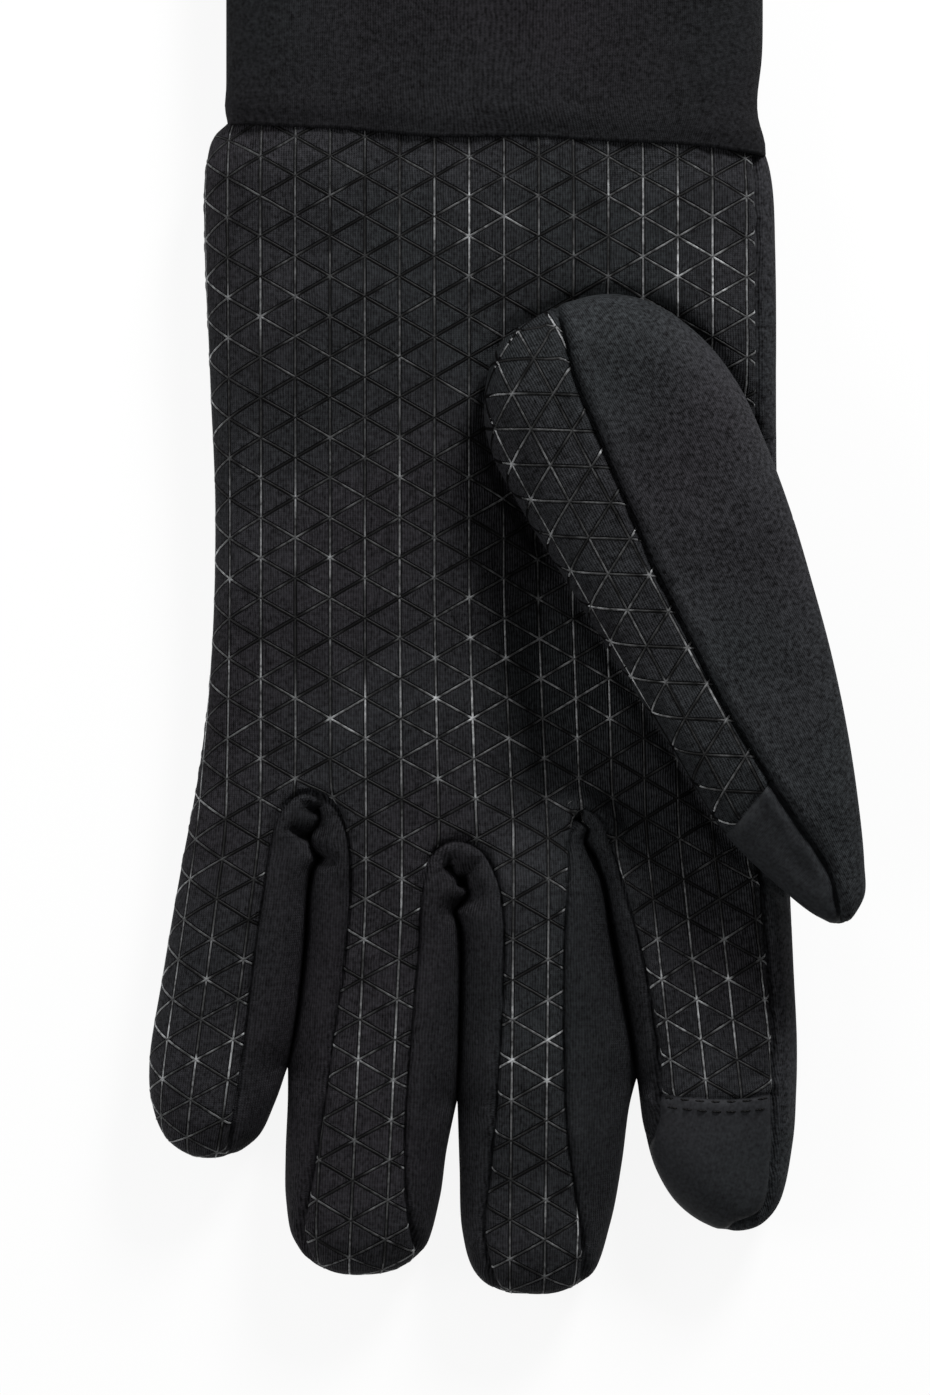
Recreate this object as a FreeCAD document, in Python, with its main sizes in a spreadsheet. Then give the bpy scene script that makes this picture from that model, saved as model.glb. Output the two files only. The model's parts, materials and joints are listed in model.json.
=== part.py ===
"""Left-hand touchscreen glove, lying on its back with the palm up.

Row frame, millimetres: +Z is the palm's outward normal, +Y runs from the fingertips to the cuff,
+X points to the thumb side. The origin is the centre of the glove's box, on the surface it lies on.

The hand and its four fingers are one rounded block, nested four times: outside and inside of the shell
fabric, outside and inside of the lining. The thumb is another such block, which lies on the palm, and the
cuff is a third. Zones (upright prisms) then cut these skins into the panels that a glove maker sews.
"""

import FreeCAD
import Part
import Sketcher
from FreeCAD import Vector

import math
import os

OUT = "parts"
FAR = 200.0  # reach of a cutting zone, beyond every edge of the glove
UP = Vector(0, 0, 1)
TO_CUFF = Vector(0, 1, 0)
TO_TIPS = Vector(0, -1, 0)
TO_THUMB = Vector(1, 0, 0)

# Driving dimensions, in millimetres unless the note says otherwise. Each is one cell of the sheet.
DIMENSIONS = {
    # fabric layers
    "shell_wall": (1.2, "stretch shell fabric"),
    "bond_gap": (0.1, "between two layers"),
    "lining_wall": (0.9, "brushed lining"),
    "fold_gap": (0.4, "open cut at each finger's root, where the fabric folds"),
    # hand block
    "hand_thick": (15.0, "palm to back, outside"),
    "hand_round": (6.4, "rounding of the hand's long edges"),
    "edge_flat": (0.3, "least flat left between the two roundings of an edge"),
    "corner_round": (8.0, "plan radius of the wrist corners"),
    "wrist_left": (-53.5, "outer edge of the palm near the wrist, little finger side"),
    "wrist_right": (48.5, "outer edge of the palm near the wrist, thumb side"),
    "wrist_line": (73.4, "wrist seam on the glove's centre line"),
    "wrist_slope": (-2.86, "degrees, wrist seam against X"),
    "wrist_corner": (7.0, "centre of a wrist corner, short of the wrist seam"),
    "wrist_reserve": (4.0, "centre of the block's end corners, beyond the wrist seam; cut off"),
    "bend_round": (60.0, "hollow in the outer edge above the little finger"),
    "bend_left": (-52.2, "outer edge at the deepest point of that hollow"),
    "bend_level": (-22.0, "place of that hollow along Y"),
    # fingertips: centre and radius of each round end
    "little_tip_x": (-52.2, ""), "little_tip_y": (-97.6, ""), "little_tip_r": (11.4, ""),
    "ring_tip_x": (-25.4, ""), "ring_tip_y": (-117.0, ""), "ring_tip_r": (13.4, ""),
    "middle_tip_x": (5.6, ""), "middle_tip_y": (-121.0, ""), "middle_tip_r": (12.8, ""),
    "index_tip_x": (40.4, ""), "index_tip_y": (-110.4, ""), "index_tip_r": (12.1, ""),
    "bulge_round": (60.0, "full side of the middle finger, towards the index finger"),
    "bulge_right": (21.0, "its widest point"),
    "bulge_level": (-88.0, "place of that point along Y"),
    # slits between the fingers: end point, and sideways run for each millimetre towards the tips
    "slit_half": (0.4, "half the slit's width"),
    "slit_a_x": (-33.3, ""), "slit_a_y": (-49.0, ""), "slit_a_lean": (-0.123, "little to ring"),
    "slit_b_x": (-7.9, ""), "slit_b_y": (-58.5, ""), "slit_b_lean": (-0.0286, "ring to middle"),
    "slit_c_x": (15.8, ""), "slit_c_y": (-50.5, ""), "slit_c_lean": (0.18, "middle to index"),
    "root_drop": (1.7, "root of a finger past the slit end that bounds it"),
    "index_clear": (1.3, "root of the index finger past the thumb's tip, which lies on it"),
    "web_round": (6.8, "radius of the fourchette's arch round a slit end"),
    # seams of the fingers, sideways from the finger's own centre line, at its root and at its tip
    "little_seam_root": (1.2, ""), "little_seam_tip": (4.8, ""),
    "ring_seam_left_root": (6.9, ""), "ring_seam_left_tip": (10.1, ""),
    "ring_seam_right_root": (6.3, ""), "ring_seam_right_tip": (8.3, ""),
    "middle_seam_left_root": (4.0, ""), "middle_seam_left_tip": (9.2, ""),
    "middle_seam_right_root": (6.2, ""), "middle_seam_right_tip": (8.3, ""),
    "index_seam_root": (12.6, ""), "index_seam_tip": (10.6, ""),
    "back_wrap": (3.8, "strip of the back panel that shows beside the palm, on the thumb side"),
    # thumb block
    "thumb_base_x": (23.4, ""), "thumb_base_y": (19.4, ""), "thumb_base_r": (24.5, ""),
    "thumb_tip_x": (55.9, ""), "thumb_tip_y": (-58.6, ""), "thumb_tip_r": (7.7, ""),
    "thumb_thick": (13.5, "outside"),
    "thumb_round": (6.0, "rounding of the thumb's long edges"),
    "thumb_lift": (0.3, "air between the palm and the thumb that lies on it"),
    "thumb_hole_r": (16.0, "opening from the hand into the thumb"),
    "thumb_fold": (24.0, "fold across the thumb, from the centre of its base"),
    "thumb_seam_base": (5.0, "long seam beside the thumb's centre line, at its base"),
    # touch patches
    "index_patch": (12.2, "seam of the index patch, short of the tip's centre"),
    "thumb_patch": (17.6, "seam of the thumb patch, short of the tip's centre"),
    # cuff
    "cuff_left": (-49.8, ""), "cuff_right": (46.6, ""),
    "cuff_end": (133.8, "open end of the cuff"),
    "cuff_round": (6.4, "rounding of the cuff's side folds"),
    "overlock_wall": (0.8, "ring of seam stitching inside the wrist"),
    "overlock_wide": (5.0, ""),
    "label_wide": (18.0, ""), "label_long": (28.0, ""), "label_wall": (0.4, ""),
    "label_clear": (0.2, "between the label and the facing it is sewn to"),
    # printed grip lines
    "grip_pitch": (7.14, "side of one triangle"),
    "grip_line": (0.55, "width of a line"),
    "grip_high": (0.15, "height of a line"),
    # stitches
    "stitch_long": (1.5, ""), "stitch_wide": (0.4, ""), "stitch_high": (0.3, ""),
    "stitch_pitch": (1.9, ""), "stitch_rows": (1.9, "distance between the two rows"),
}

doc = FreeCAD.newDocument("touch_glove")
sheet = doc.addObject("Spreadsheet::Sheet", "Dimensions")
for row, (alias, (value, note)) in enumerate(DIMENSIONS.items(), start=1):
    sheet.set(f"A{row}", alias)
    sheet.set(f"B{row}", str(value))
    sheet.set(f"C{row}", note)
    sheet.setAlias(f"B{row}", alias)
doc.recompute()


class Length:
    """A length worked out from the sheet: its value in millimetres and the same sum as an expression."""

    def __init__(self, value, text):
        self.value = value
        self.text = text

    def __add__(self, other):
        return Length(self.value + other.value, f"{self.text} + ({other.text})")

    def __sub__(self, other):
        return Length(self.value - other.value, f"{self.text} - ({other.text})")

    def __mul__(self, number):
        return Length(self.value * number, f"({self.text}) * {number}")

    def at_most(self, other):
        return Length(min(self.value, other.value), f"min({self.text}; {other.text})")


def size(alias):
    """The value of one cell, in millimetres."""
    return float(getattr(sheet, alias))


def cell(alias):
    """One cell as a Length."""
    return Length(size(alias), f"Dimensions.{alias}")


NONE = Length(0.0, "0")


# ---------------------------------------------------------------- plan of the fingers

FINGERS = ("little", "ring", "middle", "index")
SLIT_BESIDE = {("little", "right"): "a", ("ring", "left"): "a", ("ring", "right"): "b",
               ("middle", "left"): "b", ("middle", "right"): "c", ("index", "left"): "c"}
SLIT_BETWEEN = {"a": ("little", "ring"), "b": ("ring", "middle"), "c": ("middle", "index")}
FACING = {("little", "right"): "ring", ("ring", "left"): "little", ("ring", "right"): "middle",
          ("middle", "left"): "ring", ("middle", "right"): "index", ("index", "left"): "middle"}
SEAM_OF = {("little", "right"): "little_seam", ("index", "left"): "index_seam",
           ("ring", "left"): "ring_seam_left", ("ring", "right"): "ring_seam_right",
           ("middle", "left"): "middle_seam_left", ("middle", "right"): "middle_seam_right"}
SIDE = {"left": -1, "right": 1}


def wrist_shift(alias):
    """How far the sloping wrist seam lies above its middle, at the x of a cell."""
    slope = round(math.tan(math.radians(size("wrist_slope"))), 6)
    return cell(alias) * slope


def slit_point(name, drop=0.0):
    """The point of a slit that lies drop past its end, towards the tips."""
    return Vector(size(f"slit_{name}_x") + size(f"slit_{name}_lean") * drop,
                  size(f"slit_{name}_y") - drop, 0)


def tip(finger):
    return Vector(size(f"{finger}_tip_x"), size(f"{finger}_tip_y"), 0)


def slits_of(finger):
    return [name for (owner, _), name in SLIT_BESIDE.items() if owner == finger]


def slit_end(finger):
    """Y of the slit end that bounds a finger."""
    return min(size(f"slit_{name}_y") for name in slits_of(finger))


def root_y(finger):
    """Y of a finger's root, where it folds. The index finger's lies past the thumb's tip."""
    if finger == "index":
        return size("thumb_tip_y") - size("thumb_tip_r") - size("index_clear")
    return slit_end(finger) - size("root_drop")


def base_middle(finger):
    """Middle of a finger's width beside its slit end."""
    left, right = [slit_point(SLIT_BESIDE[finger, side]).x if (finger, side) in SLIT_BESIDE else edge
                   for side, edge in (("left", size("bend_left")), ("right", size("wrist_right")))]
    return Vector((left + right) / 2, slit_end(finger), 0)


def spine(finger):
    """Unit vector down a finger, from its base to its tip."""
    return (tip(finger) - base_middle(finger)).normalize()


def left_of(direction):
    """Unit vector square to a direction in plan, on its left."""
    return Vector(-direction.y, direction.x, 0).normalize()


# ---------------------------------------------------------------- rounded blocks

# A ring lists its circles anticlockwise: whether the outline bulges there, and the circle's centre and
# radius. Straight lines touch each pair of neighbours.
def tip_circle(name):
    return True, cell(f"{name}_x"), cell(f"{name}_y"), cell(f"{name}_r")


def slit_circle(name):
    return False, cell(f"slit_{name}_x"), cell(f"slit_{name}_y"), cell("slit_half")


def corner_circle(alias, sign, along):
    """Circle in a corner: it touches the outer edge of a cell, and its centre is along past the wrist seam."""
    centre_x = cell(alias) + cell("corner_round") * -sign
    return True, centre_x, cell("wrist_line") + wrist_shift(alias) + along, cell("corner_round")


HAND_RING = {
    "end_left": corner_circle("cuff_left", -1, cell("wrist_reserve")),
    "corner_left": corner_circle("wrist_left", -1, cell("wrist_corner") * -1),
    "bend": (False, cell("bend_left") - cell("bend_round"), cell("bend_level"), cell("bend_round")),
    "little": tip_circle("little_tip"),
    "slit_a": slit_circle("a"),
    "ring": tip_circle("ring_tip"),
    "slit_b": slit_circle("b"),
    "middle": tip_circle("middle_tip"),
    "bulge": (True, cell("bulge_right") - cell("bulge_round"), cell("bulge_level"), cell("bulge_round")),
    "slit_c": slit_circle("c"),
    "index": tip_circle("index_tip"),
    "corner_right": corner_circle("wrist_right", 1, cell("wrist_corner") * -1),
    "end_right": corner_circle("cuff_right", 1, cell("wrist_reserve")),
}
THUMB_RING = {"base": tip_circle("thumb_base"), "tip": tip_circle("thumb_tip")}
CUFF_ROUND = cell("cuff_round").at_most(cell("hand_thick") * 0.5 - cell("edge_flat"))
CUFF_LOW = CUFF_ROUND
CUFF_HIGH = cell("hand_thick") - CUFF_ROUND
CUFF_NEAR = cell("cuff_left") + CUFF_ROUND
CUFF_AWAY = cell("cuff_right") - CUFF_ROUND
CUFF_RING = {"low_left": (True, CUFF_NEAR, CUFF_LOW, CUFF_ROUND),
             "low_right": (True, CUFF_AWAY, CUFF_LOW, CUFF_ROUND),
             "high_right": (True, CUFF_AWAY, CUFF_HIGH, CUFF_ROUND),
             "high_left": (True, CUFF_NEAR, CUFF_HIGH, CUFF_ROUND)}

LEVELS = {"shell_out": NONE, "shell_in": cell("shell_wall")}
LEVELS["lining_out"] = LEVELS["shell_in"] + cell("bond_gap")
LEVELS["lining_in"] = LEVELS["lining_out"] + cell("lining_wall")
LEVELS["overlock_out"] = LEVELS["lining_in"] + cell("bond_gap")
LEVELS["overlock_in"] = LEVELS["overlock_out"] + cell("overlock_wall")


def drawn_in(circle, inset):
    """(centre, radius, bulges) of a ring's circle once the outline is drawn in by inset."""
    bulges, x, y, radius = circle
    return Vector(x.value, y.value, 0), radius.value + (-inset if bulges else inset), bulges


def touching_line(first, second):
    """Ends of the line that touches two drawn-in circles, in the direction of the outline."""
    (a, radius_a, bulges_a), (b, radius_b, bulges_b) = first, second
    side_a = radius_a if bulges_a else -radius_a
    side_b = radius_b if bulges_b else -radius_b
    gap = b - a
    heading = math.atan2(gap.y, gap.x) - math.asin((side_b - side_a) / gap.Length)
    normal = Vector(-math.sin(heading), math.cos(heading), 0)
    return a - normal * side_a, b - normal * side_b


def draw_ring(sketch, ring, inset):
    """Draws a ring in a sketch, drawn in by inset, and ties its circles to the sheet."""
    circles = [drawn_in(circle, inset.value) for circle in ring.values()]
    lines = [touching_line(circle, circles[(i + 1) % len(circles)]) for i, circle in enumerate(circles)]
    arcs = []
    for i, (centre, radius, bulges) in enumerate(circles):
        ends = [lines[i - 1][1], lines[i][0]]
        if not bulges:
            ends.reverse()
        start, end = [math.atan2(point.y - centre.y, point.x - centre.x) for point in ends]
        if end < start:
            end += 2 * math.pi
        arcs.append(sketch.addGeometry(Part.ArcOfCircle(Part.Circle(centre, UP, radius), start, end), False))
    runs = [sketch.addGeometry(Part.LineSegment(*line), False) for line in lines]
    for i, (bulges, x, y, radius) in enumerate(ring.values()):
        comes, leaves = (1, 2) if bulges else (2, 1)
        sketch.addConstraint(Sketcher.Constraint("Tangent", runs[i - 1], 2, arcs[i], comes))
        sketch.addConstraint(Sketcher.Constraint("Tangent", arcs[i], leaves, runs[i], 1))
        centre, drawn, _ = circles[i]
        for kind, value, text in (("DistanceX", centre.x, x.text), ("DistanceY", centre.y, y.text)):
            number = sketch.addConstraint(Sketcher.Constraint(kind, -1, 1, arcs[i], 3, value))
            sketch.setExpression(f"Constraints[{number}]", text)
        number = sketch.addConstraint(Sketcher.Constraint("Radius", arcs[i], drawn))
        sketch.setExpression(f"Constraints[{number}]", f"{radius.text} {'-' if bulges else '+'} ({inset.text})")


def sketched_body(name, role, ring, inset):
    """A body with one sketch of a ring on its own origin plane."""
    body = doc.addObject("PartDesign::Body", name)
    sketch = body.newObject("Sketcher::SketchObject", f"{name}_outline")
    plane = next(feature for feature in body.Origin.OriginFeatures if feature.Role == role)
    sketch.AttachmentSupport = [(plane, "")]
    sketch.MapMode = "FlatFace"
    draw_ring(sketch, ring, inset)
    pad = body.newObject("PartDesign::Pad", f"{name}_pad")
    pad.Profile = sketch
    body.Tip = pad
    return body, sketch, pad


def rounded_block(name, ring, inset, bottom, thick, rounding):
    """A ring padded to its thickness, with all long edges rounded, and drawn in by inset on every side."""
    body, sketch, pad = sketched_body(name, "XY_Plane", ring, inset)
    sketch.setExpression("AttachmentOffset.Base.z", (bottom + inset).text)
    pad.setExpression("Length", (thick - inset * 2).text)
    doc.recompute()
    level = [f"Edge{i}" for i, edge in enumerate(pad.Shape.Edges, 1) if edge.BoundBox.ZLength < 1e-6]
    fillet = body.newObject("PartDesign::Fillet", f"{name}_rounding")
    fillet.Base = (pad, level)
    fillet.setExpression("Radius", (rounding.at_most(thick * 0.5 - cell("edge_flat")) - inset).text)
    body.Tip = fillet
    return body


def cuff_block(name, inset):
    """The cuff's section, drawn in by inset and padded along Y to its open end."""
    body, _, pad = sketched_body(name, "XZ_Plane", CUFF_RING, inset)
    pad.Reversed = True
    pad.setExpression("Length", cell("cuff_end").text)
    return body


# ---------------------------------------------------------------- cutting and joining

def prism(name, points, low=-1.0):
    """An upright prism over a polygon of the plan, from low to far above the glove."""
    corners = [Vector(point.x, point.y, low) for point in points]
    made = doc.addObject("Part::Feature", name)
    made.Shape = Part.Face(Part.makePolygon(corners + corners[:1])).extrude(UP * FAR)
    return made


def half_plane(name, point, direction, low=-1.0):
    """Everything on the left of a line in plan."""
    out = left_of(direction) * FAR
    start, end = point - direction * FAR, point + direction * FAR
    return prism(name, [start, end, end + out, start + out], low)


def joined(name, *members):
    made = doc.addObject("Part::MultiFuse", name)
    made.Shapes = list(members)
    return made


def boolean(kind, name, base, tools):
    made = doc.addObject(kind, name)
    made.Base = base
    made.Tool = tools[0] if len(tools) == 1 else joined(f"{name}_tools", *tools)
    return made


def cut(name, base, *tools):
    return boolean("Part::Cut", name, base, tools)


def common(name, base, *tools):
    return boolean("Part::Common", name, base, tools)


NODES = {}


def node(made, name=None):
    """Marks an object as one piece of the glove, under the name that its file takes."""
    made.Label = name or made.Name
    NODES[made.Label] = made
    return made


def skins(prefix, ring, bottom, thick, rounding):
    """Shell and lining of one rounded block."""
    block = {level: rounded_block(f"{prefix}_{level}", ring, LEVELS[level], bottom, thick, rounding)
             for level in ("shell_out", "shell_in", "lining_out", "lining_in")}
    return (cut(f"{prefix}_shell", block["shell_out"], block["shell_in"]),
            cut(f"{prefix}_layer", block["lining_out"], block["lining_in"]))


THUMB_FLOOR = cell("hand_thick") + cell("thumb_lift")
hand_shell, hand_layer = skins("hand", HAND_RING, NONE, cell("hand_thick"), cell("hand_round"))
thumb_shell, thumb_layer = skins("thumb", THUMB_RING, THUMB_FLOOR, cell("thumb_thick"), cell("thumb_round"))

# ---------------------------------------------------------------- zones

mid_height = size("hand_thick") / 2
wrist_middle = Vector(0, size("wrist_line"), 0)
wrist_run = Vector(1, math.tan(math.radians(size("wrist_slope"))), 0).normalize()
above_wrist = half_plane("above_wrist", wrist_middle, wrist_run)
below_wrist = half_plane("below_wrist", wrist_middle, -wrist_run)

wrap_start, wrap_end = touching_line(drawn_in(HAND_RING["index"], size("back_wrap")),
                                     drawn_in(HAND_RING["corner_right"], size("back_wrap")))
palm_side = half_plane("palm_side", wrap_start, (wrap_end - wrap_start).normalize(), mid_height)


def finger_zone(finger, start, name):
    """Plan of one finger, from start past its root to past its tip, between its slits."""
    far = FAR
    corners = {}
    for side, sign in SIDE.items():
        if (finger, side) in SLIT_BESIDE:
            slit = SLIT_BESIDE[finger, side]
            run = size(f"slit_{slit}_y") - root_y(finger) + start
            corners[side] = [slit_point(slit, run), slit_point(slit, run + far)]
        else:
            edge = Vector(sign * FAR, root_y(finger) - start, 0)
            corners[side] = [edge, edge + TO_TIPS * far]
    return prism(name, [corners["left"][0], corners["left"][1], corners["right"][1], corners["right"][0]])


def web_zone(slit):
    """The arch of a fourchette: a round end about the slit's end, drawn out towards the tips."""
    centre, radius = slit_point(slit), size("web_round")
    down = (slit_point(slit, 1.0) - centre).normalize()
    side = left_of(down) * radius
    arch = Part.Arc(centre + side, centre - down * radius, centre - side).toShape()
    legs = Part.makePolygon([centre - side, centre - side + down * FAR, centre + side + down * FAR, centre + side])
    face = Part.Face(Part.Wire([arch] + legs.Edges))
    made = doc.addObject("Part::Feature", f"web_zone_{slit}")
    made.Shape = face.extrude(UP * FAR)
    made.Placement = FreeCAD.Placement(Vector(0, 0, -1), FreeCAD.Rotation())
    return made


def wall_zone(finger, side):
    """All of a finger that lies outside one of its long seams, which flares out round the tip."""
    down = spine(finger)
    out = left_of(down) * SIDE[side]
    seam, radius = SEAM_OF[finger, side], size(f"{finger}_tip_r")
    start = base_middle(finger) + out * size(f"{seam}_root")
    end = tip(finger) + out * size(f"{seam}_tip")
    flare = tip(finger) + down * (0.6 * radius) + out * (0.85 * radius)
    above = start + (start - end).normalize() * radius
    past = flare + (down * 2 + out) * radius
    corners = [above, end, flare, past, past + out * FAR, above + out * FAR]
    return prism(f"{finger}_{side}_wall_zone", corners if side == "right" else corners[::-1])


root_cuts = [finger_zone(finger, 0.0, f"{finger}_root_cut") for finger in FINGERS]
finger_zones = {finger: finger_zone(finger, size("fold_gap"), f"{finger}_zone") for finger in FINGERS}
web_zones = {slit: web_zone(slit) for slit in SLIT_BETWEEN}

thumb_base = Vector(size("thumb_base_x"), size("thumb_base_y"), 0)
thumb_tip = Vector(size("thumb_tip_x"), size("thumb_tip_y"), 0)
thumb_spine = (thumb_tip - thumb_base).normalize()
thumb_square = left_of(thumb_spine)
thumb_fold = thumb_base + thumb_spine * size("thumb_fold")
thumb_root_zone = half_plane("thumb_root_zone", thumb_fold, thumb_square)
thumb_free_zone = half_plane("thumb_free_zone", thumb_fold + thumb_spine * size("fold_gap"), -thumb_square)
thumb_hole = doc.addObject("Part::Cylinder", "thumb_hole")
thumb_hole.setExpression("Radius", cell("thumb_hole_r").text)
thumb_hole.setExpression("Height", (cell("hand_thick") * 0.5 + cell("thumb_lift") + cell("thumb_thick") * 0.5).text)
thumb_hole.setExpression("Placement.Base.x", cell("thumb_base_x").text)
thumb_hole.setExpression("Placement.Base.y", cell("thumb_base_y").text)
thumb_hole.setExpression("Placement.Base.z", (cell("hand_thick") * 0.5).text)

# ---------------------------------------------------------------- hand

fingers_off = joined("fingers_off", *root_cuts)
hand_rest = cut("hand_rest", common("hand_below_wrist", hand_shell, below_wrist), fingers_off)
for slit, (left, right) in SLIT_BETWEEN.items():
    node(common(f"fourchette_web_{left}_{right}", hand_rest, web_zones[slit]))
hand_panels = cut("hand_panels", hand_rest, *web_zones.values())
node(cut("palm_panel", common("palm_whole", hand_panels, palm_side), thumb_hole))
node(cut("back_panel", hand_panels, palm_side))
layer_rest = cut("layer_rest", common("layer_below_wrist", hand_layer, below_wrist), fingers_off)
node(cut("hand_lining", layer_rest, thumb_hole))

# ---------------------------------------------------------------- fingers

finger_palms = {}
for finger in FINGERS:
    skin = common(f"{finger}_shell", hand_shell, finger_zones[finger])
    walls = []
    for owner, side in SLIT_BESIDE:
        if owner == finger:
            walls.append(wall_zone(finger, side))
            node(common(f"{finger}_fourchette_facing_{FACING[finger, side]}", skin, walls[-1]))
    panels = cut(f"{finger}_panels", skin, *walls)
    finger_palms[finger] = common(f"{finger}_palm", panels, palm_side)
    node(cut(f"{finger}_back_panel", panels, palm_side))
    node(common(f"{finger}_lining", hand_layer, finger_zones[finger]))

index_spine = spine("index")
index_seam_point = tip("index") - index_spine * size("index_patch")
index_patch_zone = half_plane("index_patch_zone", index_seam_point, -left_of(index_spine))
node(common("index_touch_tip", finger_palms["index"], index_patch_zone))
node(cut("index_palm_panel", finger_palms["index"], index_patch_zone))
for finger in ("little", "ring", "middle"):
    node(finger_palms[finger], f"{finger}_palm_panel")

# ---------------------------------------------------------------- thumb

thumb_seam_start = thumb_base - thumb_square * size("thumb_seam_base")
thumb_seam_run = (thumb_tip - thumb_seam_start).normalize()
thumb_palm_side = half_plane("thumb_palm_side", thumb_seam_start, -thumb_seam_run)
thumb_patch_zone = half_plane("thumb_patch_zone", thumb_tip - thumb_spine * size("thumb_patch"), -thumb_square)
thumb_root = cut("thumb_root", common("thumb_root_shell", thumb_shell, thumb_root_zone), thumb_hole)
node(common("thumb_root_palm_panel", thumb_root, thumb_palm_side))
node(cut("thumb_root_back_panel", thumb_root, thumb_palm_side))
node(cut("thumb_root_lining", common("thumb_root_layer", thumb_layer, thumb_root_zone), thumb_hole))
thumb_free = common("thumb_free_shell", thumb_shell, thumb_free_zone)
thumb_palm = common("thumb_palm", thumb_free, thumb_palm_side)
node(common("thumb_touch_tip", thumb_palm, thumb_patch_zone))
node(cut("thumb_palm_panel", thumb_palm, thumb_patch_zone))
node(cut("thumb_back_panel", thumb_free, thumb_palm_side))
node(common("thumb_lining", thumb_layer, thumb_free_zone))

# ---------------------------------------------------------------- cuff

cuff = {level: cuff_block(f"cuff_{level}", inset) for level, inset in LEVELS.items()}


def cuff_end_box(name, depth):
    """A box over the last depth of the cuff."""
    made = doc.addObject("Part::Box", name)
    made.setExpression("Length", (cell("cuff_right") - cell("cuff_left")).text)
    made.setExpression("Width", depth.text)
    made.setExpression("Height", cell("hand_thick").text)
    made.setExpression("Placement.Base.x", cell("cuff_left").text)
    made.setExpression("Placement.Base.y", (cell("cuff_end") - depth).text)
    return made


hem_box = cuff_end_box("hem_box", cell("shell_wall"))
facing_room = cuff_end_box("facing_room", cell("shell_wall") + cell("bond_gap"))
cuff_room = cut("cuff_room", cuff["shell_in"], hem_box)
cuff_tube = cut("cuff_tube", cuff["shell_out"], cuff_room, cuff["lining_in"])
node(common("cuff_shell", cuff_tube, above_wrist))
facing_tube = cut("facing_tube", cuff["lining_out"], cuff["lining_in"], facing_room)
node(common("cuff_facing", facing_tube, above_wrist))

half_wide = left_of(wrist_run) * (size("overlock_wide") / 2)
overlock_zone = prism("overlock_zone", [wrist_middle - wrist_run * FAR - half_wide,
                                        wrist_middle + wrist_run * FAR - half_wide,
                                        wrist_middle + wrist_run * FAR + half_wide,
                                        wrist_middle - wrist_run * FAR + half_wide])
overlock_tube = cut("overlock_tube", cuff["overlock_out"], cuff["overlock_in"])
node(common("wrist_overlock", overlock_tube, overlock_zone))

label = node(doc.addObject("Part::Box", "care_label"))
label.setExpression("Length", cell("label_wide").text)
label.setExpression("Width", cell("label_long").text)
label.setExpression("Height", cell("label_wall").text)
label.setExpression("Placement.Base.x", (cell("cuff_left") + cell("cuff_round") * 2).text)
label.setExpression("Placement.Base.y", (cell("wrist_line") + cell("overlock_wide")).text)
label.setExpression("Placement.Base.z", (LEVELS["lining_in"] + cell("label_clear")).text)
doc.recompute()

# ---------------------------------------------------------------- printed grip lines

hand_top = size("hand_thick")
thumb_top = THUMB_FLOOR.value + size("thumb_thick")


def flat_top(shape, level):
    """The largest flat face of a shape that looks up at a level."""
    faces = [face for face in shape.Faces
             if abs(face.CenterOfMass.z - level) < 1e-4 and face.normalAt(0, 0).z > 0.999]
    return max(faces, key=lambda face: face.Area)


def grip(name, panel, level, along, start):
    """Lines of a triangular grid on a panel's flat top. One family of lines runs along a direction."""
    face = flat_top(panel.Shape, level)
    box, pitch, beside = face.BoundBox, size("grip_pitch"), left_of(along)
    rise = pitch * math.sqrt(3) / 2
    reach = pitch / math.sqrt(3) - size("grip_line")
    middle = Vector(box.Center.x, box.Center.y, 0) - start
    first_column, first_row = round(middle.dot(beside) / rise), round(middle.dot(along) / pitch)
    span = int(box.DiagonalLength / 2 / rise) + 2
    box.enlarge(pitch)
    cells = []
    for column in range(first_column - span, first_column + span):
        for row in range(first_row - span, first_row + span):
            for points_away in (0, 1):
                shift = pitch / 2 * ((column + 1 + points_away) % 2)
                centre = start + beside * (rise * (column + (1 + points_away) / 3)) + along * (pitch * row + shift)
                centre.z = level
                if not box.isInside(centre):
                    continue
                arm = beside * (-reach if points_away else reach)
                corners = [centre + FreeCAD.Rotation(UP, turn).multVec(arm) for turn in (0, 120, 240, 360)]
                cells.append(Part.Face(Part.makePolygon(corners)))
    made = doc.addObject("Part::Feature", name)
    made.Shape = face.cut(Part.Compound(cells)).extrude(UP * size("grip_high"))
    return node(made)


grip("palm_grip_print", NODES["palm_panel"], hand_top, TO_TIPS, Vector())
for finger in FINGERS:
    grip(f"{finger}_grip_print", NODES[f"{finger}_palm_panel"], hand_top, spine(finger), base_middle(finger))
for piece in ("thumb_root", "thumb"):
    grip(f"{piece}_grip_print", NODES[f"{piece}_palm_panel"], thumb_top, thumb_spine, thumb_base)

# ---------------------------------------------------------------- stitches


def stitching(name, point, along, half_width, level):
    """Two rows of short stitches on a patch seam, one on each side of it."""
    count = int(2 * half_width / size("stitch_pitch"))
    turn = FreeCAD.Rotation(TO_THUMB, along)
    long, wide, high = size("stitch_long"), size("stitch_wide"), size("stitch_high")
    stitches = []
    for sign in (-1, 1):
        for k in range(count):
            centre = point + along * ((k - (count - 1) / 2) * size("stitch_pitch"))
            centre += left_of(along) * (sign * size("stitch_rows") / 2)
            stitch = Part.makeBox(long, wide, high, Vector(-long / 2, -wide / 2, 0))
            stitch.Placement = FreeCAD.Placement(Vector(centre.x, centre.y, level), turn)
            stitches.append(stitch)
    made = doc.addObject("Part::Feature", name)
    made.Shape = Part.Compound(stitches)
    return node(made)


stitching("index_tip_stitching", index_seam_point, left_of(index_spine),
          size("index_tip_r") - size("hand_round"), hand_top + size("grip_high"))

# ---------------------------------------------------------------- check and export

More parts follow.
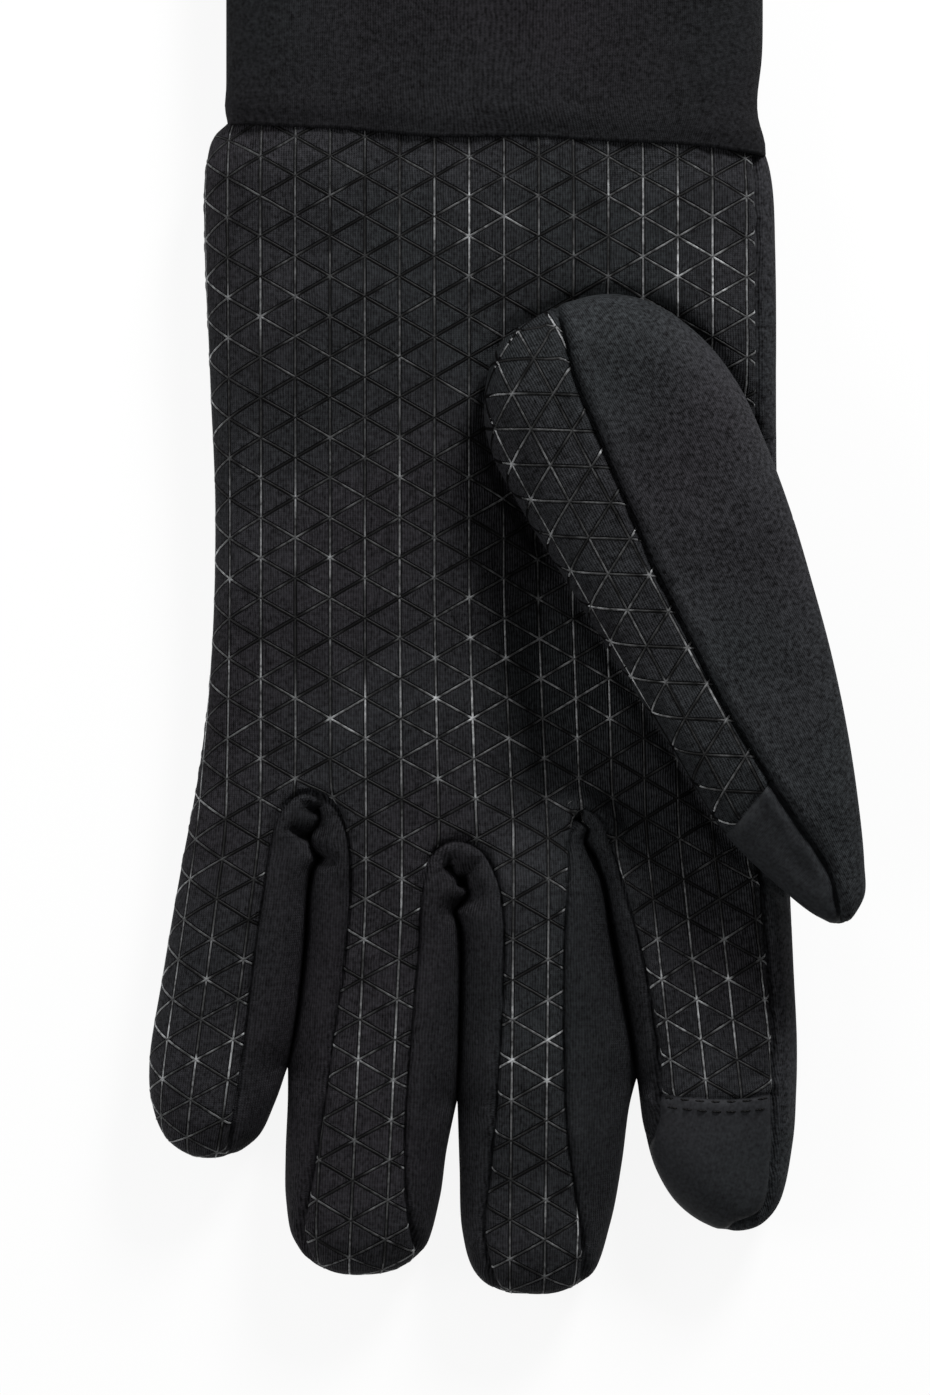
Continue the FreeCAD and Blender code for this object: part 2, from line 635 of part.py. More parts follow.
doc.recompute()
faulty = [made.Name for made in doc.Objects if {"Invalid", "Error"} & set(made.State)]
faulty += [name for name, made in NODES.items() if made.Shape.isNull() or not made.Shape.isValid()]
if faulty:
    raise SystemExit(f"failed objects: {faulty}")
os.makedirs(OUT, exist_ok=True)
for name, made in NODES.items():
    made.Shape.exportStep(f"{OUT}/{name}.step")
    box = made.Shape.BoundBox
    print(f"{name:34s} {len(made.Shape.Solids):3d} solids {made.Shape.Volume:9.1f} mm3  "
          f"x {box.XMin:7.1f} {box.XMax:6.1f}  y {box.YMin:7.1f} {box.YMax:6.1f}  z {box.ZMin:5.1f} {box.ZMax:5.1f}")
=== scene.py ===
# %% [markdown]
# # A winter glove with touch tips
# The glove lies on its back, palm up. This file dresses the construction model with knitted panels,
# pressed seams, a printed grip, linings and a cuff. Everything is in metres, in the construction's frame:
# +X to the thumb, +Y to the cuff, +Z out of the palm. Plan outlines are written in millimetres and
# scaled once, by MM.

# %% Load the construction
import json
import math

import bpy
import numpy as np
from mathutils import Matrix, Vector, noise
from mathutils.geometry import delaunay_2d_cdt

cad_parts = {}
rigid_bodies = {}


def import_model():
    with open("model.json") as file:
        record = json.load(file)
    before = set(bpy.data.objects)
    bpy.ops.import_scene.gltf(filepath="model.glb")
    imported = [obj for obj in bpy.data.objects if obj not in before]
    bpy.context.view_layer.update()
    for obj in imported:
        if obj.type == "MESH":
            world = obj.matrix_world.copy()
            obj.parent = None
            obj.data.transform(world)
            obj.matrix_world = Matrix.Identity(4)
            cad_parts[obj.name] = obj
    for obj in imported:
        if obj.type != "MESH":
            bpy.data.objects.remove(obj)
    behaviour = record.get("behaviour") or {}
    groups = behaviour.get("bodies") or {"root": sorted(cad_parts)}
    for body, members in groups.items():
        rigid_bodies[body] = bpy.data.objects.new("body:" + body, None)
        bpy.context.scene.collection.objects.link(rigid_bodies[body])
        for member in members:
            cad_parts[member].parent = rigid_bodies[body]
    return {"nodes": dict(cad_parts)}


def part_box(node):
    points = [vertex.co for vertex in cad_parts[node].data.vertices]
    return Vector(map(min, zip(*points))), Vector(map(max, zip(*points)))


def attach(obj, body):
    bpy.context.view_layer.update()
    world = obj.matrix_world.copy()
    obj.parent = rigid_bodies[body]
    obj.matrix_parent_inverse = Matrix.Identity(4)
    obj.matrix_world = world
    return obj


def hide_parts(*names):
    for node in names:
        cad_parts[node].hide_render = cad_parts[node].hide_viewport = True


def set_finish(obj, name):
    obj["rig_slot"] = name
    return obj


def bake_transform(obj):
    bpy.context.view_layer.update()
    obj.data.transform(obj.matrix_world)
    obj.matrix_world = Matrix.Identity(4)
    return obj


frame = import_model()
for starter in [obj for obj in bpy.data.objects if obj.name in ("Cube", "Camera", "Light")]:
    bpy.data.objects.remove(starter)
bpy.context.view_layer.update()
MM = 0.001

# %% [markdown]
# ## Smooth curves from a few points
# A pattern cutter draws a panel's edge through a few marks with a bent ruler. Catmull-Rom does the same:
# it passes through each point and is smooth between them.

# %% Curves
def smooth(points, step=0.9, closed=False):
    """Points every step millimetres along a smooth curve through a few points."""
    p = np.array(points, float)
    p = np.vstack([p[-1], p, p[:2]]) if closed else np.vstack([2 * p[0] - p[1], p, 2 * p[-1] - p[-2]])
    out = []
    for a, b, c, d in zip(p[:-3], p[1:-2], p[2:-1], p[3:]):
        ka, kb, kc = (max(math.sqrt(np.linalg.norm(v)), 1e-3) for v in (b - a, c - b, d - c))
        count = max(1, round(np.linalg.norm(c - b) / step))
        t = (ka + kb * np.arange(count) / count)[:, None]
        ab = a + (b - a) * t / ka
        bc = b + (c - b) * (t - ka) / kb
        cd = c + (d - c) * (t - ka - kb) / kc
        abc = ab + (bc - ab) * t / (ka + kb)
        bcd = bc + (cd - bc) * (t - ka) / (kb + kc)
        out.append(abc + (bcd - abc) * (t - ka) / kb)
    if not closed:
        out.append(p[-2][None])
    return np.vstack(out)


print("a curve through 3 marks, 20 mm long, has", len(smooth([(0, 0), (10, 2), (20, 0)])), "points")

# %% Distances in plan
def nearest(points, line, closed=False):
    """The point of a polyline that is nearest to each point, in plan."""
    a = np.asarray(line, np.float32)[:, :2]
    b = np.roll(a, -1, 0) if closed else a[1:]
    a = a if closed else a[:-1]
    run = b - a
    length2 = np.maximum((run ** 2).sum(1), 1e-9)
    result = np.empty((len(points), 2))
    for start in range(0, len(points), 4000):
        p = np.asarray(points[start:start + 4000], np.float32)[:, None, :2] - a
        t = np.clip((p * run).sum(2) / length2, 0, 1)[..., None]
        best = ((p - t * run) ** 2).sum(2).argmin(1)
        rows = np.arange(len(best))
        result[start:start + 4000] = a[best] + t[rows, best] * run[best]
    return result


def distance(points, line, closed=False):
    """Distance of each point from a polyline, in plan."""
    return np.linalg.norm(points[:, :2] - nearest(points, line, closed), axis=1)


def inside(points, loop):
    """True for each point that lies in a closed loop, in plan."""
    a = np.asarray(loop, float)
    b = np.roll(a, -1, 0)
    result = np.zeros(len(points), bool)
    for (x1, y1), (x2, y2) in zip(a, b):
        if y1 == y2:
            continue
        spans = (points[:, 1] < y1) != (points[:, 1] < y2)
        cross = (x2 - x1) * (points[:, 1] - y1) / (y2 - y1) + x1
        result ^= spans & (points[:, 0] < cross)
    return result


def joined(loop):
    """A closed loop as a line that ends where it starts."""
    return np.vstack([loop, loop[:1]])


def x_on(line, points):
    """X of a line that runs towards the fingertips, level with each point."""
    return np.interp(-points[:, 1], -line[:, 1], line[:, 0])


def lumps(x, y, long_x, long_y, seed):
    """Soft noise from -1 to 1 at x and y, with lumps long_x by long_y."""
    places = np.broadcast(x, y, seed)
    return np.array([noise.noise(Vector((a / long_x, b / long_y, c))) for a, b, c in places])


def ease(value, low, high):
    """Smooth step from 0 at low to 1 at high."""
    t = np.clip((value - low) / (high - low), 0, 1)
    return t * t * (3 - 2 * t)


print("a quarter of the way up, a soft step reaches", ease(0.25, 0, 1))

# %% [markdown]
# ## The plan of the hand
# Seen from above, the hand is one outline. It runs down the little finger's edge, round each fingertip
# and up each slit. Both sides of a slit are the same curve, a hair apart, so neighbouring fingers press
# together as they do on a flat glove. The first centimetre of a slit wriggles, because the spare fabric of
# the fourchette puckers there.

# %% Outline of the hand
SLIT_GAP = 0.05
slits = {
    "a": smooth([(-33.2, -46.2), (-32.8, -47.9), (-33.9, -50.1), (-35.0, -51.6), (-34.3, -53.6),
                 (-33.4, -55.4), (-34.4, -57.6), (-35.1, -61), (-35.6, -70), (-37.2, -84), (-38.9, -93)],
                step=0.6),
    "b": smooth([(-9.9, -56.6), (-8.9, -58.1), (-7.3, -59.7), (-6.4, -61.6), (-7.7, -63.4), (-8.9, -65),
                 (-8.0, -67.6), (-7.7, -71), (-7.8, -80), (-8.1, -92), (-8.4, -99)], step=0.6),
    "c": smooth([(13.5, -48.4), (14.9, -50), (14.4, -52.3), (16.2, -55.4), (17.8, -59.4), (18.9, -66),
                 (21.1, -78), (22.9, -88), (23.9, -95)], step=0.6),
}
FINGER_ENDS = {
    "little": [(-41.2, -99.5), (-44.4, -105.8), (-49.5, -108.8), (-55.2, -109.2), (-60.7, -105.8),
               (-63.3, -99.5)],
    "ring": [(-10.3, -108), (-11.6, -117), (-14.4, -125.6), (-20, -129.6), (-27.5, -130.3), (-33.8, -128.6),
             (-37.7, -124), (-39.2, -117), (-39.3, -109), (-38.9, -99)],
    "middle": [(22.6, -100), (21.2, -110.5), (19.2, -121), (15.9, -130), (10.6, -133.2), (4.6, -133.8),
               (-1.2, -133), (-5.4, -129.6), (-7.5, -122.5), (-8.0, -111)],
    "index": [(52.6, -97), (51.9, -107), (49.4, -117.5), (46.2, -121.2), (42.1, -122.4), (36.6, -121.4),
              (31.2, -117.6), (27.3, -111.3), (25.3, -104)],
}
LEFT_EDGE = [(-63.7, -92), (-61.4, -77), (-58, -57), (-54.6, -38), (-52.5, -18), (-51.9, 8), (-52.9, 32),
             (-53.9, 56), (-53.7, 68), (-52.2, 74), (-49.4, 76.8), (-47.4, 79.6)]
RIGHT_EDGE = [(44.9, 75), (46.9, 71), (48.2, 66), (48.9, 50), (49, 20), (49.6, -10), (50.8, -45), (52.1, -75),
              (52.7, -88)]


def slit_sides(name):
    """Both sides of a slit as one open curve, from the tip of the right finger round to the left one."""
    line = slits[name]
    half = np.array([SLIT_GAP / 2, 0])
    return np.vstack([line[:0:-1] + half, line[:1] + (0, 0.05), line[1:] - half])


def hand_outline():
    """The outline in parts, clockwise from the wrist's right corner: outer edges and slits by turns."""
    parts = [smooth(RIGHT_EDGE + FINGER_ENDS["index"] + [tuple(slits["c"][-1] + (SLIT_GAP / 2, 0))])[:-1]]
    order = [("c", "middle", "b"), ("b", "ring", "a")]
    for slit, finger, nearer in order:
        parts.append(slit_sides(slit))
        start, end = slits[slit][-1] - (SLIT_GAP / 2, 0), slits[nearer][-1] + (SLIT_GAP / 2, 0)
        parts.append(smooth([tuple(start)] + FINGER_ENDS[finger] + [tuple(end)])[1:-1])
    parts.append(slit_sides("a"))
    start = tuple(slits["a"][-1] - (SLIT_GAP / 2, 0))
    parts.append(smooth([start] + FINGER_ENDS["little"] + LEFT_EDGE)[1:])
    return parts


outline_parts = hand_outline()
outline, outer_edges = np.vstack(outline_parts), outline_parts[::2]
print("outline:", len(outline), "points, box", outline.min(0).round(1), outline.max(0).round(1))

# %% [markdown]
# ## Seams in plan
# Each fourchette is bounded by one long seam: up the side of one finger, over an arch, and down the side
# of the next. The palm meets the back panel along a seam inside the thumb-side edge, and the index
# finger's touch patch starts at a short seam across the finger.

# %% Seams of the hand
ARCHES = {
    "a": smooth([(-50.4, -114), (-48.6, -104), (-46.8, -91.5), (-45, -75), (-43, -61), (-41.4, -51),
                 (-39.2, -46), (-35.6, -43.5), (-31.4, -44.8), (-28.6, -49.2), (-27.5, -57), (-28.4, -72),
                 (-30.6, -87), (-33, -104), (-35.3, -116), (-36.3, -122.5), (-34.6, -127.2), (-29, -133)]),
    "b": smooth([(-17.6, -134), (-15.6, -126.5), (-17.1, -118), (-17.7, -104), (-16.8, -88), (-15.4, -72),
                 (-14.6, -61), (-12.8, -54.7), (-8.8, -52), (-4.4, -53.4), (-1.4, -58.6), (-0.2, -66),
                 (-0.5, -83), (-1.6, -98), (-2.5, -110), (-3.7, -121), (-2.6, -129), (1.5, -137)]),
    "c": smooth([(10.5, -137), (14.1, -130.5), (14.3, -124.4), (12.9, -115.6), (11.2, -104), (10.6, -91),
                 (10.5, -76), (11.2, -60), (12.2, -50.5), (14.8, -46.4), (17.9, -48.6), (20, -56.6),
                 (23.6, -69), (26.1, -81.5), (27.5, -96), (26.2, -106), (24.6, -111)]),
}
WRAP_SEAM = smooth([(44.6, 90), (45.3, 60), (45.5, 15), (45.4, -30), (46.2, -62), (47.7, -80), (48.1, -98),
                    (48, -111), (46.4, -118.4), (40.4, -121.9), (38, -126)])
EDGE_SEAM = smooth([(-43, 90), (-48.2, 60), (-47.4, 25), (-46.9, -5), (-48, -28), (-51.4, -50), (-55.6, -74),
                    (-58.4, -92), (-56.4, -101.5), (-51.2, -106), (-48, -113)])
TOUCH_SEAM = smooth([(27.4, -97.3), (32, -97.7), (38, -98.1), (43, -97.9), (48.1, -97.2)])
ROOTS = {"little": -50.7, "ring": -60.2, "middle": -60.2, "index": -67.6}
PUCKERS = [smooth([(-5.0, -56.2), (-6.4, -58.0), (-7.6, -59.8)]), smooth([(-37.6, -50.2), (-35.4, -51.4)]),
           smooth([(-30.4, -55.8), (-32.8, -55.4)]), smooth([(-35.6, -45.6), (-33.6, -46.8)])]
THUMB_BASE, HOLE_RADIUS = np.array([23.4, 19.4]), 15.5
THUMB_HOLE = np.array([THUMB_BASE + HOLE_RADIUS * np.array([math.cos(t), math.sin(t)])
                       for t in np.linspace(0, 2 * math.pi, 72, endpoint=False)])
THUMB_OUTLINE = smooth([(-2.5, 17.6), (2.9, 6.9), (10, -4.7), (17.1, -16.3), (27.9, -33.3), (38.6, -50.3),
                        (47.5, -59.2), (55.5, -65.4), (59.6, -66.3), (63.2, -61.9), (63.3, -55.6),
                        (62, -43.1), (60, -30.6), (57.3, -18.1), (53.9, -5.6), (50.2, 6.9), (45.7, 19.4),
                        (41.3, 29), (35, 37.2), (26, 43.5), (17.1, 44.9), (7.3, 41.7), (-0.7, 36.3),
                        (-3.6, 26.5)], step=0.8, closed=True)[::-1]
THUMB_SPINE = np.array([0.3846, -0.9231])     # the way the thumb points
THUMB_FOLD = np.array([32.63, -2.75])         # where its spine crosses its fold


def cross(name, x0, x1):
    """A finger's root, as a fold line across it."""
    x = np.arange(x0, x1, 0.9)
    return np.column_stack([x, np.full(len(x), ROOTS[name])])


FOLDS = {"little": cross("little", -62, -33.7), "ring": cross("ring", -34.4, -8),
         "middle": cross("middle", -7.8, 17.5), "index": cross("index", 19.1, 56)}
print("seams:", len(ARCHES) + 3, "puckers:", len(PUCKERS), "folds:", len(FOLDS))

# %% [markdown]
# ## From a plan to a skin
# The plan is filled with triangles that keep every seam as an edge. The same triangles make the palm side
# and the back side. Their shared rim stays near mid height, and every other point rises or sinks by how
# far it is from the rim, along a rounded profile, as if the glove held a little air.

# %% Triangulate a plan
RIM_ROWS = (0.06, 0.22, 0.5, 0.95)   # rows of points inside the rim, where the skin turns steep
SEAM_ROWS = (0.35, 0.85)             # rows on both sides of a seam, for its groove


def rows_beside(line, offsets, closed):
    """Rows of points on both sides of a line."""
    along = np.roll(line, -1, 0) - np.roll(line, 1, 0) if closed else np.gradient(line, axis=0)
    normal = np.column_stack([-along[:, 1], along[:, 0]])
    normal /= np.maximum(np.linalg.norm(normal, axis=1), 1e-9)[:, None]
    return [(offset, line + normal * side * offset) for offset in offsets for side in (-1, 1)]


def triangulate(loop, lines, spacing):
    """Fills a loop with near-even triangles that keep loop and lines as edges. Returns points and faces."""
    borders = [(loop, True, RIM_ROWS)] + [(line, False, SEAM_ROWS) for line in lines]
    fixed, edges, extra = [], [], []
    for line, closed, _ in borders:
        ids = list(range(len(fixed), len(fixed) + len(line)))
        fixed.extend(map(tuple, line))
        edges += list(zip(ids, ids[1:] + ids[:1] if closed else ids[1:]))

    def clearance(points):
        """Distance of each point from the nearest border."""
        return np.min([distance(points, line, closed) for line, closed, _ in borders], 0)

    for line, closed, offsets in borders:
        for offset, row in rows_beside(line, offsets, closed):
            row = row[inside(row, loop)]
            extra.append(row[clearance(row) > 0.85 * offset])
    low, high = loop.min(0), loop.max(0)
    grid = []
    for i, y in enumerate(np.arange(low[1], high[1], spacing * math.sqrt(3) / 2)):
        x = np.arange(low[0] + (i % 2) * spacing / 2, high[0], spacing)
        grid.append(np.column_stack([x, np.full(len(x), y)]))
    grid = np.vstack(grid)
    grid = grid[inside(grid, loop)]
    extra.append(grid[clearance(grid) > max(RIM_ROWS) + spacing * 0.45])
    points = [Vector(p) for p in fixed] + [Vector(p) for p in np.vstack(extra)]
    verts, _, faces, *_rest = delaunay_2d_cdt(points, edges, [], 0, 1e-4, False)
    verts, faces = np.array([v[:] for v in verts]), np.array(faces)
    corner = verts[faces]
    turn = np.cross(corner[:, 1] - corner[:, 0], corner[:, 2] - corner[:, 0])
    faces[turn < 0] = faces[turn < 0][:, ::-1]
    faces = faces[inside(corner.mean(1), loop) & (np.abs(turn) > 1e-5)]
    used, faces = np.unique(faces, return_inverse=True)
    return verts[used], faces.reshape(-1, 3)


print("rows of points inside a rim, in mm:", RIM_ROWS, "and beside a seam:", SEAM_ROWS)

# %% [markdown]
# ## Skins
# A skin holds the points and triangles of both sides, and the smooth normal of each point. Seams are
# pressed into it along those normals. Beside a seam the fabric stands up a little, because its turned-in
# edges lie underneath, and the thread pulls small puckers along it.

# %% Skins
def swell(t, power):
    """Rounded profile: height from 0 at the rim, where t is 0, to 1 where t is 1."""
    return (1 - (1 - np.clip(t, 0, 1)) ** power) ** (1 / power)


def point_normals(points, faces):
    """Smooth unit normal of each point."""
    corner = points[faces]
    normal = np.cross(corner[:, 1] - corner[:, 0], corner[:, 2] - corner[:, 0])
    total = np.zeros_like(points)
    for k in range(3):
        np.add.at(total, faces[:, k], normal)
    return total / np.maximum(np.linalg.norm(total, axis=1), 1e-12)[:, None]


def border_edges(faces, count):
    """Edges of a sheet's border, each in the direction of its triangle."""
    edges = np.vstack([faces[:, [0, 1]], faces[:, [1, 2]], faces[:, [2, 0]]])
    keys, back = edges[:, 0] * count + edges[:, 1], edges[:, 1] * count + edges[:, 0]
    return edges[~np.isin(keys, back)]


def waves(points, long, high, seed):
    """Soft random waves over the plan: their length and height in millimetres."""
    return high * lumps(points[:, 0], points[:, 1], long, long, seed)


print("a rim 10 mm wide rises to", swell(np.array([0.1, 0.5, 0.9]), 2.15).round(2), "at 1, 5 and 9 mm")

# %% Skin
class Skin:
    """Palm side and back side over one plan. They share their rim, except along an open end."""

    def __init__(self, plan, faces, top, bottom, rims, is_open=None):
        shared = np.zeros(len(plan), bool)
        shared[border_edges(faces, len(plan)).ravel()] = True
        if is_open is not None:
            shared &= ~is_open
        back_id = np.arange(len(plan))
        back_id[~shared] = len(plan) + np.arange((~shared).sum())
        self.plan = np.vstack([plan, plan[~shared]])
        self.points = np.column_stack([self.plan, np.concatenate([top, bottom[~shared]])])
        self.faces = np.vstack([faces, back_id[faces][:, ::-1]])
        self.top_face = np.arange(len(self.faces)) < len(faces)
        self.top_point = np.concatenate([~shared, np.zeros((~shared).sum(), bool)])
        self.back_point = np.arange(len(self.points)) >= len(plan)
        self.centres = np.vstack([plan[faces].mean(1)] * 2)
        self.normals = point_normals(self.points, self.faces)
        self.groove = np.zeros(len(self.points))
        self.from_rim = np.min([distance(self.plan, rim) for rim in rims], 0)

    def press(self, line, which, deep=1.25, wide=0.48, ridge=0.4, pucker=0.35, within=None):
        """Presses a seam's groove into one or both sides, with a ridge beside it and puckers along it. It
        fades towards the rim, where both sides meet."""
        sides = {"top": self.top_point, "back": self.back_point, "both": self.top_point | self.back_point}
        ids = np.flatnonzero(sides[which])
        away = distance(self.plan[ids], line)
        ids, away = ids[away < 7], away[away < 7]
        x, y = self.plan[ids].T
        depth = deep * np.exp(-(away / wide) ** 2)
        side = 1.0 if within is None else np.where(inside(self.plan[ids], within), 1.0, 0.35)
        depth -= side * ridge * np.exp(-((away - 1.7) / 1.1) ** 2)
        depth += pucker * lumps(x, y, 3.2, 3.2, 7.3) * np.exp(-(away / 2.8) ** 2)
        self.groove[ids] += depth * (0.3 + 0.7 * ease(self.from_rim[ids], 0, 2.5))

    def finish(self):
        """Moves every point in by its groove and works the normals out again."""
        self.points = self.points - self.normals * self.groove[:, None]
        self.normals = point_normals(self.points, self.faces)


print("a skin can", [name for name in vars(Skin) if name[0] != "_"])

# %% [markdown]
# ## The hand's skin
# The palm side is a little fuller than the back, which lies on the table. Fingers are narrower than the
# palm, so their rounding is tighter. At the wrist the hand is drawn in, to fit inside the cuff.

# %% The hand's skin
HAND_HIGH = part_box("palm_panel")[1].z / MM
MID = 0.44 * HAND_HIGH
ROUND_HAND, ROUND_TIP = 15.0, 9.5
WRIST_SLOPE = -0.05
HOLLOW = 6.5         # how far the palm sinks under the thumb, past a soft crest
WEB_LIFT = 3.0       # how far the rim rises at the top of a slit
SPACING = 1.15       # between the points of the plan
TOP_POWER, BACK_POWER = 2.15, 2.8
ARCH_ENDS = {"a": [(-40, -131), (-45, -118)], "b": [], "c": [(24, -120), (20, -137)]}
arch_loops = {name: np.vstack([line, np.reshape(ARCH_ENDS[name], (-1, 2))]) for name, line in ARCHES.items()}
hand_lines = (list(ARCHES.values()) + [WRAP_SEAM, EDGE_SEAM, TOUCH_SEAM] + list(FOLDS.values())
              + [joined(THUMB_HOLE)])
plan, plan_faces = triangulate(outline, hand_lines, SPACING)


def to_wrist(points):
    """Y of plan points, measured square to the sloping wrist seam."""
    return points[:, 1] - WRIST_SLOPE * points[:, 0]


print("plan of the hand:", len(plan), "points,", len(plan_faces), "triangles")

# %% Heights of the hand
def rounded(points):
    """0 at the rim to 1 inside, by the outer edge and, more tightly, by the slits between the fingers."""
    outer = np.min([distance(points, edge) for edge in outer_edges], 0)
    wide = ROUND_TIP + (ROUND_HAND - ROUND_TIP) * ease(points[:, 1], -95, -30)
    shape, below = swell(outer / wide, TOP_POWER), swell(outer / (wide * 0.8), BACK_POWER)
    for name, line in slits.items():
        beside = distance(points, slit_sides(name))
        outer = np.minimum(outer, beside)
        tight = 9.0 - 4.0 * ease(points[:, 1], -92, -60)
        shape *= swell(beside / tight, TOP_POWER)
        below *= swell(beside / (tight * 0.8), BACK_POWER)
    return shape, below, outer


def hand_sides(points):
    """Heights of the palm side and the back side over plan points. The rim rises where fingers part."""
    shape, below, from_rim = rounded(points)
    to_web = np.min([np.linalg.norm(points - line[0], axis=1) for line in slits.values()], 0)
    middle = MID + WEB_LIFT * np.exp(-(to_web / 5.0) ** 2)
    drawn_in = 1 - 0.19 * ease(to_wrist(points), 63, 74)
    slim = 1 - 0.12 * ease(-points[:, 1], 90, 130)
    top = (HAND_HIGH - middle - 0.6) * shape * slim
    bottom = middle * below
    inner = ease(from_rim, 1.0, 7.0)
    gather = ease(to_wrist(points), 45, 72) * np.sin(points[:, 0] * 1.15 + waves(points, 9, 3.0, 2.2)) * 0.22
    top += inner * (waves(points, 34, 1.3, 1.7) + waves(points, 15, 0.45, 4.1) + gather)
    bottom -= inner * np.abs(waves(points, 26, 0.5, 9.2))
    past = np.clip(points[:, 0] + 7.5, 0, None)
    ramp = np.clip(past ** 2 / (past + 1.5) / 13, 0, 1)
    hollow = ramp * ease(points[:, 1], -62, -40) * (1 - ease(points[:, 1], 2, 34))
    return middle + (top - HOLLOW * inner * hollow) * drawn_in, middle - bottom * drawn_in


palm_side, back_side = hand_sides(plan)
print("palm side up to", palm_side.max().round(1), "mm, back side down to", back_side.min().round(1), "mm")

# %% Pressing the hand's seams
at_wrist = distance(plan, np.vstack([outline[-1:], outline[:1]])) < 0.01
hand = Skin(plan, plan_faces, palm_side, back_side, outer_edges, at_wrist)
beside_slit = np.min([distance(hand.plan, slit_sides(name)) for name in slits], 0) < 0.01
hand.points[beside_slit] += hand.normals[beside_slit] * SLIT_GAP * 1.2
for name, line in ARCHES.items():
    hand.press(line, "both", within=arch_loops[name])
hand.press(WRAP_SEAM, "top")
hand.press(TOUCH_SEAM, "top", deep=0.4, ridge=0.2)
hand.press(EDGE_SEAM, "back")
hand.press(joined(THUMB_OUTLINE), "top", deep=1.3, wide=1.5, ridge=0.0, pucker=0.0)
for fold in PUCKERS:
    hand.press(fold, "top", deep=0.9, wide=0.7, ridge=0.25, pucker=0.0)
hand.finish()
print("hand skin:", len(hand.points), "points,", len(hand.faces), "faces")

# %% [markdown]
# ## Where the pattern lies on the skin
# The knit and the printed grid are flat on the cloth, so they have to be unrolled round each edge. A
# point's place on the cloth is its place in plan, moved out by the extra length of the rounded profile.
# Under the little finger's edge, where the palm's cloth wraps below, it goes on outwards. Each finger's
# grid also follows the finger's lean.

# %% Unrolling the cloth
def profile_length(high, wide, power):
    """Table of the arc length of a rounded edge, from the rim inwards, against the way in."""
    t = np.linspace(0, 1, 400) ** 2
    x, z = t * wide, high * swell(t, power)
    return x, np.concatenate([[0], np.cumsum(np.hypot(np.diff(x), np.diff(z)))])


def cloth_places(skin, border, wide, high, low, closed=False):
    """Each point's place on the cloth, unrolled; and the same for cloth that wraps below the edge."""
    near = nearest(skin.plan, border, closed)
    way = near - skin.plan
    inward = np.linalg.norm(way, axis=1)
    sideways = skin.normals[:, :2] / np.maximum(np.linalg.norm(skin.normals[:, :2], axis=1), 1e-6)[:, None]
    out = np.where((inward > 0.04)[:, None], way / np.maximum(inward, 1e-6)[:, None], sideways)
    x, length = profile_length(high, wide, TOP_POWER)
    extra = (length[-1] - np.interp(inward, x, length)) - np.clip(wide - inward, 0, None)
    x_below, length_below = profile_length(low, wide * 0.8, BACK_POWER)
    below = extra.max() + np.interp(inward, x_below, length_below) + np.clip(inward - x_below[-1], 0, None)
    return skin.plan + out * extra[:, None], near + out * below[:, None]


ROUND_CLOTH = 12.5   # how far in from the rim the cloth is still rounded, on average
way_in, unrolled = profile_length(HAND_HIGH - MID, ROUND_CLOTH, TOP_POWER)
print("the last", way_in[-1], "mm before the rim unroll to", unrolled[-1].round(1), "mm of cloth")

# %% Fingers and the printed grid
LEANS = {"little": (-0.13, -44), "ring": (-0.045, -56), "middle": (-0.01, -56), "index": (0.11, -46)}
LEAN_SOFT = 12.0
PAST_SLITS = {"a": [(-40.2, -100), (-41, -110), (-41, -135)], "b": [(-9.2, -108), (-9.5, -120), (-9, -135)],
              "c": [(24, -102), (24, -135)]}


def fingers_of(points):
    """Name of the finger that each plan point belongs to, by the slits and their way on past the tips."""
    result = np.full(len(points), "little", "U40")
    for slit, finger in (("a", "ring"), ("b", "middle"), ("c", "index")):
        divide = np.vstack([slits[slit], PAST_SLITS[slit]])
        result[points[:, 0] > x_on(divide, points)] = finger
    return result


def straighten(places, owner):
    """Takes each finger's lean out of its cloth places."""
    result = places.copy()
    for finger, (lean, start) in LEANS.items():
        past = np.clip(start - places[:, 1], 0, None)
        soft = np.where(past < LEAN_SOFT, past ** 2 / (2 * LEAN_SOFT), past - LEAN_SOFT / 2)
        result[:, 0] -= np.where(owner == finger, lean * soft, 0)
    past = np.clip(-5 - places[:, 1], 0, 45)
    result[:, 0] -= 0.05 * past ** 2 / (past + LEAN_SOFT) * np.exp(-((places[:, 0] - 6) / 20) ** 2)
    return result


def to_grid(places, node, turn):
    """Cloth places measured from a node of the printed grid, with a family of lines along v."""
    c, s = math.cos(turn), math.sin(turn)
    return (places - node) @ np.array([[c, -s], [s, c]])


HAND_NODE = np.array([-6.25, 62.6])
owner = fingers_of(hand.plan)
hand.cloth, hand.cloth_below = (to_grid(straighten(places, owner), HAND_NODE, 0.0) for places in
                                cloth_places(hand, outline, ROUND_CLOTH, HAND_HIGH - MID, MID))
print("the cloth is", np.ptp(hand.cloth[:, 0]).round(1), "mm wide")

# %% [markdown]
# ## Cutting the skin into pieces
# A glove maker's panels are the skin's regions between seams. Every triangle gets the name of its panel,
# and each panel then becomes a piece with a real thickness.

# %% Panels of the hand
PAIR = {"a": ("little", "ring"), "b": ("ring", "middle"), "c": ("middle", "index")}


